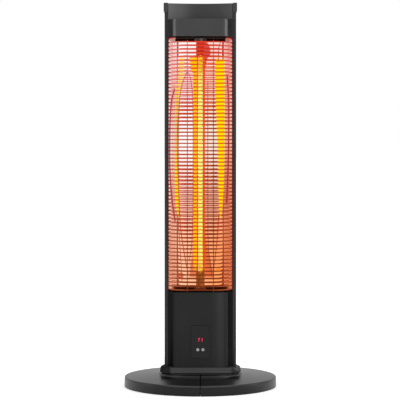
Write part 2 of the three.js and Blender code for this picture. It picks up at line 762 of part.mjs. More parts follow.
// ---------------------------------------------------------------- lower housing

// A housing cover: the front half of the cross-section, hollow, and open below and at its back.
function frontCover(z0, z1) {
  const shell = prism(housingOutline(0, HOUSING_SIDE, -GAP / 2), z0, z1);
  const hollow = prism(housingOutline(-HOUSING_WALL, HOUSING_SIDE, CUT), z0 - CUT, z1 - HOUSING_WALL);
  return cut(shell, hollow);
}

function lowerFrontCover() {
  const halfWidth = WINDOW_WIDTH / 2 + GAP;
  const halfHeight = WINDOW_HEIGHT / 2 + GAP;
  const place = roundedRectangle(halfWidth, halfHeight, WINDOW_CORNER_RADIUS + GAP, EDGE_STEPS);
  const opening = place.map(([x, z]) => [x, z + WINDOW_CENTRE_Z]);
  const cover = frontCover(TOWER_BOTTOM, LOWER_HOUSING_TOP);
  return cut(cover, prismAlongY(opening, -PANEL_DEPTH - CUT, -PANEL_DEPTH + HOUSING_WALL + CUT));
}

function lowerRearCover() {
  const cover = toRear(frontCover(TOWER_BOTTOM, LOWER_HOUSING_TOP));
  const y0 = PANEL_DEPTH - HOUSING_WALL - CUT;
  const y1 = PANEL_DEPTH + CUT;
  const halfX = rockerFrameHalfX() + GAP;
  const halfZ = rockerFrameHalfZ() + GAP;
  return cut(
    cover,
    box(ROCKER_X - halfX, ROCKER_X + halfX, y0, y1, ROCKER_Z - halfZ, ROCKER_Z + halfZ),
    pinAlongY(INLET_RADIUS + GAP, y0, y1, INLET_X, INLET_Z),
  );
}

function keyHole(x) {
  return pinAlongY(KEY_RADIUS + GAP, WINDOW_FRONT_Y - CUT, WINDOW_BACK_Y + CUT, x, KEY_Z);
}

function controlWindow() {
  const outline = roundedRectangle(
    WINDOW_WIDTH / 2,
    WINDOW_HEIGHT / 2,
    WINDOW_CORNER_RADIUS,
    EDGE_STEPS,
  ).map(([x, z]) => [x, z + WINDOW_CENTRE_Z]);
  const pane = prismAlongY(outline, WINDOW_FRONT_Y, WINDOW_BACK_Y);
  return cut(pane, keyHole(-KEY_X), keyHole(KEY_X));
}

function touchKey(x) {
  return pinAlongY(KEY_RADIUS, WINDOW_FRONT_Y, WINDOW_BACK_Y, x, KEY_Z);
}

function digitDisplay() {
  const y0 = WINDOW_BACK_Y + GAP;
  const halfWidth = DISPLAY_WIDTH / 2;
  const halfHeight = DISPLAY_HEIGHT / 2;
  return box(
    -halfWidth,
    halfWidth,
    y0,
    y0 + DISPLAY_THICKNESS,
    DISPLAY_Z - halfHeight,
    DISPLAY_Z + halfHeight,
  );
}

function controlBoard() {
  const y0 = WINDOW_BACK_Y + GAP + DISPLAY_THICKNESS + GAP;
  const halfWidth = CONTROL_BOARD_WIDTH / 2;
  const halfHeight = CONTROL_BOARD_HEIGHT / 2;
  return box(
    -halfWidth,
    halfWidth,
    y0,
    y0 + BOARD_THICKNESS,
    WINDOW_CENTRE_Z - halfHeight,
    WINDOW_CENTRE_Z + halfHeight,
  );
}

function powerBoard() {
  const halfWidth = POWER_BOARD_WIDTH / 2;
  return box(
    -halfWidth,
    halfWidth,
    POWER_BOARD_Y,
    POWER_BOARD_Y + BOARD_THICKNESS,
    TOWER_BOTTOM,
    TOWER_BOTTOM + POWER_BOARD_HEIGHT,
  );
}

// A block mounted on the rear face of the power board.
function onPowerBoard({ width, depth, height }, x, rise) {
  const y0 = POWER_BOARD_Y + BOARD_THICKNESS + GAP;
  const z0 = TOWER_BOTTOM + rise;
  return box(x - width / 2, x + width / 2, y0, y0 + depth, z0, z0 + height);
}

// ---------------------------------------------------------------- rocker switch and cord inlet

function rockerFrameHalfX() {
  return ROCKER_WIDTH / 2 + GAP + ROCKER_FRAME_WALL;
}

function rockerFrameHalfZ() {
  return ROCKER_SLOT_HALF + ROCKER_FRAME_WALL;
}

function rockerFrame() {
  const halfX = rockerFrameHalfX();
  const halfZ = rockerFrameHalfZ();
  const face = PANEL_DEPTH + GAP;
  const front = face + ROCKER_BEZEL;
  const back = PANEL_DEPTH - ROCKER_FRAME_DEPTH;
  const slotX = ROCKER_WIDTH / 2 + GAP;
  const around = (hx, hz, y0, y1) =>
    box(ROCKER_X - hx, ROCKER_X + hx, y0, y1, ROCKER_Z - hz, ROCKER_Z + hz);
  const blank = join(
    around(halfX, halfZ, back, front),
    around(halfX + ROCKER_BEZEL, halfZ + ROCKER_BEZEL, face, front),
  );
  const axleReach = ROCKER_WIDTH / 2 + ROCKER_AXLE_LENGTH + GAP;
  const axleHole = pinAlongX(
    ROCKER_AXLE_RADIUS + GAP,
    ROCKER_X - axleReach,
    ROCKER_X + axleReach,
    ROCKER_PIVOT_Y,
    ROCKER_Z,
  );
  return cut(blank, around(slotX, ROCKER_SLOT_HALF, back + ROCKER_FRAME_WALL, front + CUT), axleHole);
}

// The rocker lies tipped one way at rest, which is off, and tips as far the other way.
function powerRocker() {
  const halfWidth = ROCKER_WIDTH / 2;
  const profile = [
    [ROCKER_END_RISE, -ROCKER_REACH],
    [ROCKER_MIDDLE_RISE, 0],
    [ROCKER_END_RISE, ROCKER_REACH],
    [-ROCKER_KEEL_DROP, ROCKER_KEEL_HALF],
    [-ROCKER_KEEL_DROP, -ROCKER_KEEL_HALF],
  ];
  const body = prismAlongX(profile, -halfWidth, halfWidth);
  const axleReach = halfWidth + ROCKER_AXLE_LENGTH;
  const axle = pinAlongX(ROCKER_AXLE_RADIUS, -axleReach, axleReach, 0, 0);
  const rocker = join(body, axle);
  rocker.rotateX(THREE.MathUtils.degToRad(-ROCKER_TILT_DEG));
  return rocker.translate(ROCKER_X, ROCKER_PIVOT_Y, ROCKER_Z);
}

function cordInlet() {
  const face = PANEL_DEPTH + GAP;
  const bushing = new THREE.LatheGeometry(
    [
      [INLET_BORE, face - INLET_INNER_LENGTH],
      [INLET_RADIUS, face - INLET_INNER_LENGTH],
      [INLET_RADIUS, face],
      [INLET_FLANGE_RADIUS, face],
      [INLET_FLANGE_RADIUS - SMALL_CHAMFER, face + INLET_FLANGE_HEIGHT],
      [INLET_BORE, face + INLET_FLANGE_HEIGHT],
      [INLET_BORE, face - INLET_INNER_LENGTH],
    ].map(([radius, y]) => new THREE.Vector2(radius, y)),
    SMALL_STEPS,
  );
  return bushing.translate(INLET_X, 0, INLET_Z);
}

// ---------------------------------------------------------------- rails, caps and handle

// The left rail: a channel whose open side faces the tower, with a ridge down its front and rear.
function leftRail() {
  const ridgeMiddle = RAIL_INNER + RAIL_THICKNESS / 2;
  const ridgeFrom = ridgeMiddle + RAIL_RIDGE_WIDTH / 2;
  const ridgeTo = ridgeMiddle - RAIL_RIDGE_WIDTH / 2;
  const ridge = RAIL_DEPTH + RAIL_RIDGE_HEIGHT;
  const inside = RAIL_DEPTH - RAIL_WALL;
  const web = RAIL_OUTER - RAIL_WALL;
  const front = [
    [-RAIL_OUTER, -RAIL_DEPTH],
    [-ridgeFrom, -RAIL_DEPTH],
    [-ridgeFrom, -ridge],
    [-ridgeTo, -ridge],
    [-ridgeTo, -RAIL_DEPTH],
    [-RAIL_INNER, -RAIL_DEPTH],
    [-RAIL_INNER, -inside],
    [-web, -inside],
  ];
  const rear = front.map(([x, y]) => [x, -y]).reverse();
  return prism([...front, ...rear], TOWER_BOTTOM, RAIL_TOP);
}

function leftRailCap() {
  const outer = RAIL_OUTER + CAP_OVERHANG;
  const bottom = TOTAL_HEIGHT - CAP_HEIGHT;
  const depth = RAIL_DEPTH + RAIL_RIDGE_HEIGHT + GAP + CAP_FRONT_OVERHANG;
  const block = prismAlongY(
    [
      [-RAIL_INNER, bottom],
      [-RAIL_INNER, TOTAL_HEIGHT],
      [-outer + SMALL_CHAMFER, TOTAL_HEIGHT],
      [-outer, TOTAL_HEIGHT - SMALL_CHAMFER],
      [-outer, bottom + CAP_CHAMFER],
      [-outer + CAP_LOWER_INSET, bottom],
    ],
    -depth,
    depth,
  );
  const pocketDepth = RAIL_DEPTH + RAIL_RIDGE_HEIGHT + GAP;
  const pocket = box(
    -RAIL_OUTER - GAP,
    -RAIL_INNER + CUT,
    -pocketDepth,
    pocketDepth,
    bottom - CUT,
    RAIL_TOP + GAP,
  );
  return cut(block, pocket);
}

// One depth of the handle's concave face, at a distance from its middle.
function handleDepth(x) {
  const rise = RAIL_DEPTH - HANDLE_WAIST_DEPTH;
  const radius = (HOUSING_SIDE ** 2 + rise ** 2) / (2 * rise);
  return HANDLE_WAIST_DEPTH + radius - Math.sqrt(radius ** 2 - x ** 2);
}

function handleOutline(inset, middleY) {
  const half = HOUSING_SIDE - inset;
  const points = [[-half, middleY]];
  for (let i = 0; i <= HANDLE_CURVE_STEPS; i += 1) {
    const x = -half + (2 * half * i) / HANDLE_CURVE_STEPS;
    points.push([x, -handleDepth(x) + inset]);
  }
  points.push([half, middleY]);
  return points;
}

function handleFrontShell() {
  const bottom = TOP_HOUSING_TOP + GAP;
  const shell = prism(handleOutline(0, -GAP / 2), bottom, HANDLE_TOP);
  const hollow = prism(handleOutline(HOUSING_WALL, CUT), bottom - CUT, HANDLE_TOP - HOUSING_WALL);
  return cut(shell, hollow);
}

// ---------------------------------------------------------------- guards

const GUARD_FRONT = PANEL_DEPTH - WIRE_SIZE / 2; // the wires' centre line at the front
const GUARD_CENTRE_DEPTH = GUARD_FRONT - GUARD_CORNER_RADIUS;
const GUARD_END_DEPTH = RAIL_DEPTH;
const UPRIGHT_FRONT = GUARD_FRONT - WIRE_SIZE / 2 - GAP;
const UPRIGHT_BACK = UPRIGHT_FRONT - UPRIGHT_SIZE;
const GUARD_PITCH = (GUARD_TOP - GUARD_BOTTOM - 2 * WIRE_END_MARGIN) / (WIRE_COUNT - 1);

// The angle on the guard's corner arc at which a wire meets the side bar.
function guardEndAngle() {
  return THREE.MathUtils.radToDeg(
    Math.asin((GUARD_END_DEPTH - GUARD_CENTRE_DEPTH) / GUARD_CORNER_RADIUS),
  );
}

// Where the wires end: the middle of the side bar.
function guardEndX() {
  const angle = THREE.MathUtils.degToRad(guardEndAngle());
  return GUARD_FLAT_HALF_WIDTH + GUARD_CORNER_RADIUS * Math.cos(angle);
}

// The plan outline of one wire: the outer edge one way and the inner edge back.
function wireOutline() {
  const end = guardEndAngle();
  const edge = (radius) => [
    ...arc(-GUARD_FLAT_HALF_WIDTH, -GUARD_CENTRE_DEPTH, radius, 180 + end, 270, GUARD_CORNER_STEPS),
    ...arc(GUARD_FLAT_HALF_WIDTH, -GUARD_CENTRE_DEPTH, radius, 270, 360 - end, GUARD_CORNER_STEPS),
  ];
  const outer = edge(GUARD_CORNER_RADIUS + WIRE_SIZE / 2);
  const inner = edge(GUARD_CORNER_RADIUS - WIRE_SIZE / 2);
  return [...outer, ...inner.reverse()];
}

function guardBar(side) {
  const x = side * guardEndX();
  const halfWidth = GUARD_BAR_WIDTH / 2;
  const halfDepth = GUARD_BAR_DEPTH / 2;
  return box(
    x - halfWidth,
    x + halfWidth,
    -GUARD_END_DEPTH - halfDepth,
    -GUARD_END_DEPTH + halfDepth,
    GUARD_BOTTOM,
    GUARD_TOP,
  );
}

function frontGuard() {
  const outline = wireOutline();
  const wires = [];
  for (let i = 0; i < WIRE_COUNT; i += 1) {
    const z = GUARD_BOTTOM + WIRE_END_MARGIN + GUARD_PITCH * i;
    wires.push(prism(outline, z - WIRE_SIZE / 2, z + WIRE_SIZE / 2));
  }
  return join(guardBar(-1), guardBar(1), ...wires);
}

// A straight wire behind the guard's wires, where their flat front ends.
function frontUpright(side) {
  const half = UPRIGHT_SIZE / 2;
  const x = side * (GUARD_FLAT_HALF_WIDTH - half);
  return box(x - half, x + half, -UPRIGHT_FRONT, -UPRIGHT_BACK, GUARD_BOTTOM, GUARD_TOP);
}

// ---------------------------------------------------------------- reflectors and elements

function frontReflector() {
  const curve = new THREE.SplineCurve(
    [...REFLECTOR_PROFILE.slice(1).reverse().map(([x, y]) => [-x, y]), ...REFLECTOR_PROFILE].map(
      ([x, depth]) => new THREE.Vector2(x, -depth),
    ),
  );
  const face = curve.getPoints(REFLECTOR_STEPS).map(({ x, y }) => [x, y]);
  const back = face.map(([x, y]) => [x, y + REFLECTOR_THICKNESS]).reverse();
  return prism([...face, ...back], LOWER_BRACKET_TOP + GAP, UPPER_BRACKET_BOTTOM - GAP);
}

function quartzTube() {
  const inner = QUARTZ_RADIUS - QUARTZ_WALL;
  return turned([
    [inner, TUBE_BOTTOM],
    [QUARTZ_RADIUS, TUBE_BOTTOM],
    [QUARTZ_RADIUS, TUBE_TOP],
    [inner, TUBE_TOP],
    [inner, TUBE_BOTTOM],
  ]).translate(0, -TUBE_DEPTH, 0);
}

function filament(name, y) {
  const path = new WoundPath({
    radius: COIL_RADIUS,
    turns: COIL_TURNS,
    z0: TUBE_BOTTOM,
    z1: TUBE_TOP,
    lead: COIL_LEAD,
    y,
  });
  const steps = COIL_TURNS * COIL_STEPS_PER_TURN;
  reportLeastGap(name, path, COIL_TURNS, COIL_WIRE_RADIUS);
  return woundTube(path, COIL_WIRE_RADIUS, COIL_SIDES, steps);
}

// A ceramic end with its flange down: it stands on the lower bracket and holds the tube's end.
function lowerCeramic() {
  const bottom = LOWER_BRACKET_TOP + GAP;
  const top = bottom + CERAMIC_LENGTH;
  const bore = QUARTZ_RADIUS + GAP;
  const boreFloor = top - CERAMIC_BORE_DEPTH;
  return turned([
    [0, bottom],
    [CERAMIC_FLANGE_RADIUS, bottom],
    [CERAMIC_FLANGE_RADIUS, bottom + CERAMIC_FLANGE_HEIGHT],
    [CERAMIC_RADIUS, bottom + CERAMIC_FLANGE_HEIGHT],
    [CERAMIC_RADIUS, top],
    [bore, top],
    [bore, boreFloor],
    [0, boreFloor],
  ]).translate(0, -TUBE_DEPTH, 0);
}

// The same end turned over, hanging under the upper bracket.
function upperCeramic() {
  const middle = (LOWER_BRACKET_TOP + UPPER_BRACKET_BOTTOM) / 2;
  const end = lowerCeramic().translate(0, TUBE_DEPTH, -middle);
  return end.rotateY(Math.PI).translate(0, -TUBE_DEPTH, middle);
}

function lowerBracket() {
  const z0 = LOWER_HOUSING_TOP + GAP;
  return box(
    -LOWER_BRACKET_HALF_WIDTH,
    LOWER_BRACKET_HALF_WIDTH,
    -LOWER_BRACKET_DEPTH,
    LOWER_BRACKET_DEPTH,
    z0,
    LOWER_BRACKET_TOP,
  );
}

// A plate under the top housing, with a web hanging from it behind each tube's end.
function upperBracket() {
  const halfWidth = PANEL_HALF_WIDTH - HOUSING_WALL + UPPER_BRACKET_OVERLAP;
  const depth = UPRIGHT_BACK - GAP;
  const plate = box(-halfWidth, halfWidth, -depth, depth, UPPER_BRACKET_BOTTOM, UPPER_BRACKET_TOP);
  const web = (y0) =>
    box(
      -UPPER_WEB_HALF_WIDTH,
      UPPER_WEB_HALF_WIDTH,
      y0,
      y0 + UPPER_WEB_THICKNESS,
      UPPER_BRACKET_BOTTOM - UPPER_WEB_HEIGHT,
      UPPER_BRACKET_BOTTOM + BRACKET_THICKNESS / 2,
    );
  return join(plate, web(-UPPER_WEB_DEPTH - UPPER_WEB_THICKNESS), web(UPPER_WEB_DEPTH));
}

function thermalCutout() {
  const top = UPPER_BRACKET_BOTTOM - GAP;
  return cylinder(CUTOUT_RADIUS, top - CUTOUT_HEIGHT, top, CUTOUT_X, -TUBE_DEPTH);
}

// ---------------------------------------------------------------- assembly

const heater = new THREE.Group();

function place(name, geometry, material) {
  const mesh = new THREE.Mesh(geometry, material);
  mesh.name = name;
  heater.add(mesh);
}

function placePair(names, geometry, mirror, material) {
  place(names[0], geometry, material);
  place(names[1], mirror(geometry), material);
}

const M = MATERIALS;

placePair(["base_left_half", "base_right_half"], baseHalf(), toRight, M.plasticBlack);
placePair(["base_cover_left", "base_cover_right"], baseCover(), toRight, M.plasticBlack);
placePair(["ballast_left", "ballast_right"], ballast(), toRight, M.steel);
for (let i = 0; i < 2 * FEET_PER_HALF; i += 1) {
  place(`rubber_foot_${i + 1}`, foot(i), M.rubber);
}
screwPlaces().forEach((spot, i) => place(`base_screw_${i + 1}`, baseScrew(spot), M.steel));
place("foot_plate", footPlate(), M.steel);
place("collar", collar(), M.plasticBlack);

place("tip_switch_body", tipSwitchBody(), M.plasticBlack);
place("tip_switch_plunger", tipPlunger(), M.plasticBlack);
place("tip_switch_spring", tipSpring(), M.steel);

place("lower_front_cover", lowerFrontCover(), M.paintedBlack);
place("lower_rear_cover", lowerRearCover(), M.paintedBlack);
place("control_window", controlWindow(), M.glossBlack);
place("power_touch_key", touchKey(-KEY_X), M.icon);
place("level_touch_key", touchKey(KEY_X), M.icon);
place("digit_display", digitDisplay(), M.display);
place("control_board", controlBoard(), M.board);
place("power_board", powerBoard(), M.board);
place("heating_relay", onPowerBoard(RELAY_SIZE, RELAY_X, RELAY_RISE), M.relay);
place("terminal_block", onPowerBoard(TERMINAL_SIZE, TERMINAL_X, TERMINAL_RISE), M.ceramic);
place("rocker_frame", rockerFrame(), M.plasticBlack);
place("power_rocker", powerRocker(), M.glossBlack);
place("cord_inlet", cordInlet(), M.rubber);

placePair(["left_rail", "right_rail"], leftRail(), toRight, M.paintedBlack);
placePair(["left_rail_cap", "right_rail_cap"], leftRailCap(), toRight, M.plasticBlack);
placePair(["front_guard", "rear_guard"], frontGuard(), toRear, M.guardWire);
for (const [side, hand] of [
  [-1, "left"],
  [1, "right"],
]) {
  const names = [`front_guard_upright_${hand}`, `rear_guard_upright_${hand}`];
  placePair(names, frontUpright(side), toRear, M.guardWire);
}
placePair(["front_reflector", "rear_reflector"], frontReflector(), toRear, M.mirror);
placePair(["front_quartz_tube", "rear_quartz_tube"], quartzTube(), toRear, M.quartz);
place("front_heating_coil", filament("the front coil", -TUBE_DEPTH), M.element);
place("rear_heating_coil", filament("the rear coil", TUBE_DEPTH), M.element);
placePair(["front_lower_ceramic", "rear_lower_ceramic"], lowerCeramic(), toRear, M.ceramic);
placePair(["front_upper_ceramic", "rear_upper_ceramic"], upperCeramic(), toRear, M.ceramic);
place("lower_element_bracket", lowerBracket(), M.paintedBlack);
place("upper_element_bracket", upperBracket(), M.paintedBlack);
place("thermal_cutout", thermalCutout(), M.plasticBlack);

const topCover = frontCover(TOP_HOUSING_BOTTOM, TOP_HOUSING_TOP);
placePair(["top_front_cover", "top_rear_cover"], topCover, toRear, M.paintedBlack);
placePair(["handle_front_shell", "handle_rear_shell"], handleFrontShell(), toRear, M.paintedBlack);

export default heater;
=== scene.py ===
# Looks of the infrared patio heater tower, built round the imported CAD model.
# The frame is in metres with +Z up, and the front faces -Y. Sizes are written here in millimetres and
# turned into metres by MM.

import math

import bmesh
import bpy
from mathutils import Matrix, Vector


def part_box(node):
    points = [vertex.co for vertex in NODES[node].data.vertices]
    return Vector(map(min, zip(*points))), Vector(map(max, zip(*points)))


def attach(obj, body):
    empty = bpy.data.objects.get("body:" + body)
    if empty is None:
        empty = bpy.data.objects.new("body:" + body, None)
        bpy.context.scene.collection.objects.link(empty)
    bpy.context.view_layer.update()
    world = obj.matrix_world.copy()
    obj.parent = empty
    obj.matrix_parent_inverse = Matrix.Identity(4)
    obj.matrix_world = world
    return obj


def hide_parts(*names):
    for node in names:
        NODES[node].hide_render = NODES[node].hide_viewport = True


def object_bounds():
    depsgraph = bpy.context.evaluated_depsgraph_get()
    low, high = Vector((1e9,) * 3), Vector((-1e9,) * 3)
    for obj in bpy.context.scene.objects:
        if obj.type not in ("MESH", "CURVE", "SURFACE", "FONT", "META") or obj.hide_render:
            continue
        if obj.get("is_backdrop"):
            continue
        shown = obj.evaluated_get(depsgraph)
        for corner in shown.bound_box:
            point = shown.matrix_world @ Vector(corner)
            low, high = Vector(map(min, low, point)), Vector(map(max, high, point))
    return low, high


MM = 0.001
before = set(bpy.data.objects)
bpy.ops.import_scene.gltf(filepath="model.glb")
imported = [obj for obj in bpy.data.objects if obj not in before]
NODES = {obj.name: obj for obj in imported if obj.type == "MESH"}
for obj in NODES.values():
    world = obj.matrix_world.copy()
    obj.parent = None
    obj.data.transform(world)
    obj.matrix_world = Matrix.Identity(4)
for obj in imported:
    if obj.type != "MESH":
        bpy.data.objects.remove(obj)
TOWER = "tower"


def write_box(key, store={}):
    low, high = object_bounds()
    store[key] = [list(low), list(high)]


write_box("cad_box_m")

# ------------------------------------------------------------------ sizes


def limits(node):
    """The lowest and the highest corner of a CAD node's box."""
    low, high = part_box(node)
    return [round(c / MM, 2) for c in low], [round(c / MM, 2) for c in high]


# The photograph is 400 pixels wide and was taken level from this height and distance.
EYE_HEIGHT = 578.2
EYE_DISTANCE = 4091
PHOTO_PIXELS = 400
FOCAL_PIXELS = 1720
SHIFT_SIDE_PIXELS = -0.35
SHIFT_UP_PIXELS = -57.5

BASE_LOW, BASE_HIGH = limits("base_left_half")
BASE_RADIUS = -BASE_LOW[0]
HALF_SEAM = -BASE_HIGH[0]
SEAT_TOP = BASE_HIGH[2]  # the raised seat in the middle, under the tower's foot plate
SEAT_RADIUS = 68
HOLE_RADIUS = 16
SHELL_WALL = 3
RIM_TOP = 24
RIM_EDGE = 3
SLOPE_TOP = 28.9  # where the sloping top meets the plinth
INNER_RISE = 5  # how far the slope's underside climbs
PLINTH_RADIUS = 98
PLINTH_TOP = 35
PLINTH_EDGE = 2.4
PLINTH_FILLET = 1.6
SKIRT_BOTTOM = 0.4
SKIRT_WALL = 2.6
TONGUE_HALF = 0.35
TONGUE_SINK = 1.2  # how far the tongue in the seam lies below the shells' outside

GUARD_LOW, GUARD_HIGH = limits("front_guard")
WIRES = 68
WIRE_RADIUS = 1.4
WIRE_MARGIN = 4.0  # from a guard's end to its nearest wire
WIRE_PITCH = (GUARD_HIGH[2] - GUARD_LOW[2] - 2 * WIRE_MARGIN) / (WIRES - 1)
FIRST_WIRE = GUARD_LOW[2] + WIRE_MARGIN
CAD_WIRE = 2.9  # side of the square wires in the solids
GUARD_FLAT = 31.5  # half the straight part of a wire
GUARD_CORNER = 44.5
CORNER_DEPTH = -GUARD_LOW[1] - CAD_WIRE / 2 - GUARD_CORNER  # of the rounded corners' centres
SIDE_ROD_DEPTH = 31.4
SIDE_ROD_RADIUS = 0.7
UPRIGHT_RADIUS = 0.95
ROD_INSET = 0.3  # from a rod's end to the end of the space that it fills

# The reflector's section from the middle outwards: (x, depth from the tower's middle plane).
REFLECTOR_SECTION = [
    (0, 8), (14, 6), (31, 3.5), (46, 6.3), (58, 12.3), (66, 17.2), (69.5, 19.3), (75.5, 20.6),
]
SHEET_THICKNESS = 0.8
QUARTZ_RADIUS = 7.0
QUARTZ_WALL = 1.2
COIL_RADIUS = 4.6
COIL_WIRE = 1.3
COIL_PITCH = 3.6
COIL_LEAD = 12  # the straight lead at each end of the coil
COIL_STEPS = 12  # points on one turn

# ------------------------------------------------------------------ shader graphs

# The part of its range in which a noise's values lie, and a narrower one that gives more contrast.
FINE_SPAN = (0.3, 0.7)
BROAD_SPAN = (0.35, 0.65)


class Graph:
    """A material's node tree, built from short calls. Places are millimetres in the shared frame."""

    def __init__(self, name):
        self.material = bpy.data.materials.new(name)
        self.material.use_nodes = True
        self.tree = self.material.node_tree
        self.tree.nodes.clear()
        self.output = self.tree.nodes.new("ShaderNodeOutputMaterial")
        coordinates = self.tree.nodes.new("ShaderNodeTexCoord")
        self.place = self.scaled(coordinates.outputs["Object"], 1 / MM)
        split = self.tree.nodes.new("ShaderNodeSeparateXYZ")
        self.tree.links.new(self.place, split.inputs[0])
        self.x, self.y, self.z = split.outputs[0], split.outputs[1], split.outputs[2]

    def put(self, socket, value):
        """Links a socket to another node's output, or sets it to a number, a vector or a colour."""
        if isinstance(value, bpy.types.NodeSocket):
            self.tree.links.new(value, socket)
        elif isinstance(value, (tuple, list)) and len(value) == 3 and socket.type == "RGBA":
            socket.default_value = (*value, 1)
        else:
            socket.default_value = value

    def node(self, kind, output=0, **inputs):
        made = self.tree.nodes.new(kind)
        for key, value in inputs.items():
            self.put(made.inputs[key.replace("_", " ")], value)
        return made.outputs[output]

    def scaled(self, vector, factor):
        made = self.tree.nodes.new("ShaderNodeVectorMath")
        made.operation = "SCALE"
        self.tree.links.new(vector, made.inputs[0])
        made.inputs["Scale"].default_value = factor
        return made.outputs[0]

    def math(self, operation, *values):
        made = self.tree.nodes.new("ShaderNodeMath")
        made.operation = operation
        for i, value in enumerate(values):
            self.put(made.inputs[i], value)
        return made.outputs[0]

    def ramp(self, value, low, high, to_low=0.0, to_high=1.0, smooth=True):
        made = self.tree.nodes.new("ShaderNodeMapRange")
        made.interpolation_type = "SMOOTHSTEP" if smooth else "LINEAR"
        for i, v in enumerate((value, low, high, to_low, to_high)):
            self.put(made.inputs[i], v)
        return made.outputs[0]

    def mix(self, factor, a, b, blend="MIX"):
        made = self.tree.nodes.new("ShaderNodeMix")
        made.data_type = "RGBA"
        made.blend_type = blend
        made.clamp_factor = True
        self.put(made.inputs[0], factor)
        self.put(made.inputs[6], a)
        self.put(made.inputs[7], b)
        return made.outputs[2]

    def blend(self, factor, a, b):
        made = self.tree.nodes.new("ShaderNodeMixShader")
        for i, value in enumerate((factor, a, b)):
            self.put(made.inputs[i], value)
        return made.outputs[0]

    def tinted(self, color, factor):
        """The colour times a number."""
        grey = self.node("ShaderNodeCombineColor", Red=factor, Green=factor, Blue=factor)
        return self.mix(1.0, color, grey, "MULTIPLY")

    def aside(self):
        """The distance from the plane between the left and the right side."""
        return self.math("ABSOLUTE", self.x)

    def length(self, a, b):
        squares = self.math("ADD", self.math("MULTIPLY", a, a), self.math("MULTIPLY", b, b))
        return self.math("SQRT", squares)

    def noise(self, scale, detail=2.0, stretch=(1, 1, 1)):
        """Grain of about 1 / scale millimetres, from 0 to 1."""
        mapped = self.node("ShaderNodeMapping", Vector=self.place, Scale=stretch)
        return self.node("ShaderNodeTexNoise", Vector=mapped, Scale=scale, Detail=detail)

    def curve(self, points, low, high, along=None):
        """The value of a line through (place, value) points at this height, or along another coordinate.
        low and high bound the values."""
        bottom, top = points[0][0], points[-1][0]
        made = self.tree.nodes.new("ShaderNodeFloatCurve")
        line = made.mapping.curves[0]
        for i, (place, value) in enumerate(points):
            spot = ((place - bottom) / (top - bottom), (value - low) / (high - low))
            if i < len(line.points):
                line.points[i].location = spot
            else:
                line.points.new(*spot)
        for point in line.points:
            point.handle_type = "AUTO_CLAMPED"
        made.mapping.update()
        self.put(made.inputs["Value"], self.ramp(along or self.z, bottom, top, smooth=False))
        return self.ramp(made.outputs[0], 0, 1, low, high, smooth=False)

    def inside(self, low_edge, high_edge, soft):
        """1 between two x values, falling to 0 over a soft distance outside each."""
        left = self.ramp(self.math("SUBTRACT", self.x, low_edge), -soft, 0)
        right = self.ramp(self.math("SUBTRACT", self.x, high_edge), 0, soft, 1, 0)
        return self.math("MULTIPLY", left, right)

    def between(self, bottom, top, soft_bottom, soft_top):
        """1 between two heights, falling to 0 over the soft distances outside them."""
        below = self.ramp(self.z, bottom - soft_bottom, bottom)
        above = self.ramp(self.z, top, top + soft_top, 1, 0)
        return self.math("MULTIPLY", below, above)

    def stripe(self, points, soft, fade=(6, 6)):
        """1 on a stripe whose left and right edges run through (z, left, right) points, listed upwards."""
        low = min(left for _, left, _ in points)
        high = max(right for _, _, right in points)
        left = self.curve([(z, a) for z, a, _ in points], low, high)
        right = self.curve([(z, b) for z, _, b in points], low, high)
        rise = self.ramp(self.math("SUBTRACT", self.x, left), -soft, soft)
        fall = self.ramp(self.math("SUBTRACT", self.x, right), -soft, soft, 1, 0)
        across = self.math("MULTIPLY", rise, fall)
        return self.math("MULTIPLY", across, self.between(points[0][0], points[-1][0], *fade))

    def line(self, points, width):
        """1 along a thin line of (z, x) points."""
        return self.stripe([(z, x - width / 2, x + width / 2) for z, x in points], width * 0.3)

    def spot(self, x, z, half_width, half_height):
        """1 on an oval, fading over its edge."""
        across = self.math("DIVIDE", self.math("SUBTRACT", self.x, x), half_width)
        up = self.math("DIVIDE", self.math("SUBTRACT", self.z, z), half_height)
        reach = self.math("ADD", self.math("MULTIPLY", across, across), self.math("MULTIPLY", up, up))
        return self.ramp(reach, 0.5, 1.4, 1, 0)

    def rungs(self, first, pitch, share, soft):
        """1 on level bars at an even pitch, each taking a share of it."""
        step = self.math("DIVIDE", self.math("SUBTRACT", self.z, first), pitch)
        off = self.math("ABSOLUTE", self.math("SUBTRACT", self.math("FRACT", step), 0.5))
        edge = 0.5 - share / 2
        return self.ramp(off, edge - soft, edge + soft)

    def finish(self, shader):
        self.tree.links.new(shader, self.output.inputs["Surface"])
        return self.material

    def principled(self, **inputs):
        return self.node("ShaderNodeBsdfPrincipled", **inputs)

    def bump(self, height, strength, distance):
        return self.node("ShaderNodeBump", Height=height, Strength=strength, Distance=distance * MM)


def grained_plastic(
    name, color, roughness, specular=0.5, grain=1.2, relief=0.03, spread=0.25, shade=None, gloss=None
):
    """Moulded plastic or paint: fine grain in the relief and a broad, faint change of tone.
    shade(graph) gives a factor of painted light and shade on the colour. The gloss takes the same factor, or
    gloss(graph)."""
    g = Graph(name)
    if shade:
        factor = shade(g)
        color = g.tinted(color, factor)
        specular = g.math("MULTIPLY", gloss(g) if gloss else factor, specular)
    fine = g.noise(grain, 3.0)
    tone = g.ramp(g.noise(0.012), *BROAD_SPAN, 1 - spread / 2, 1 + spread / 2)
    return g.finish(
        g.principled(
            Base_Color=g.tinted(color, tone),
            Roughness=g.ramp(fine, *FINE_SPAN, roughness - 0.04, roughness + 0.04),
            Specular_IOR_Level=specular,
            Normal=g.bump(fine, 0.35, relief),
        )
    )


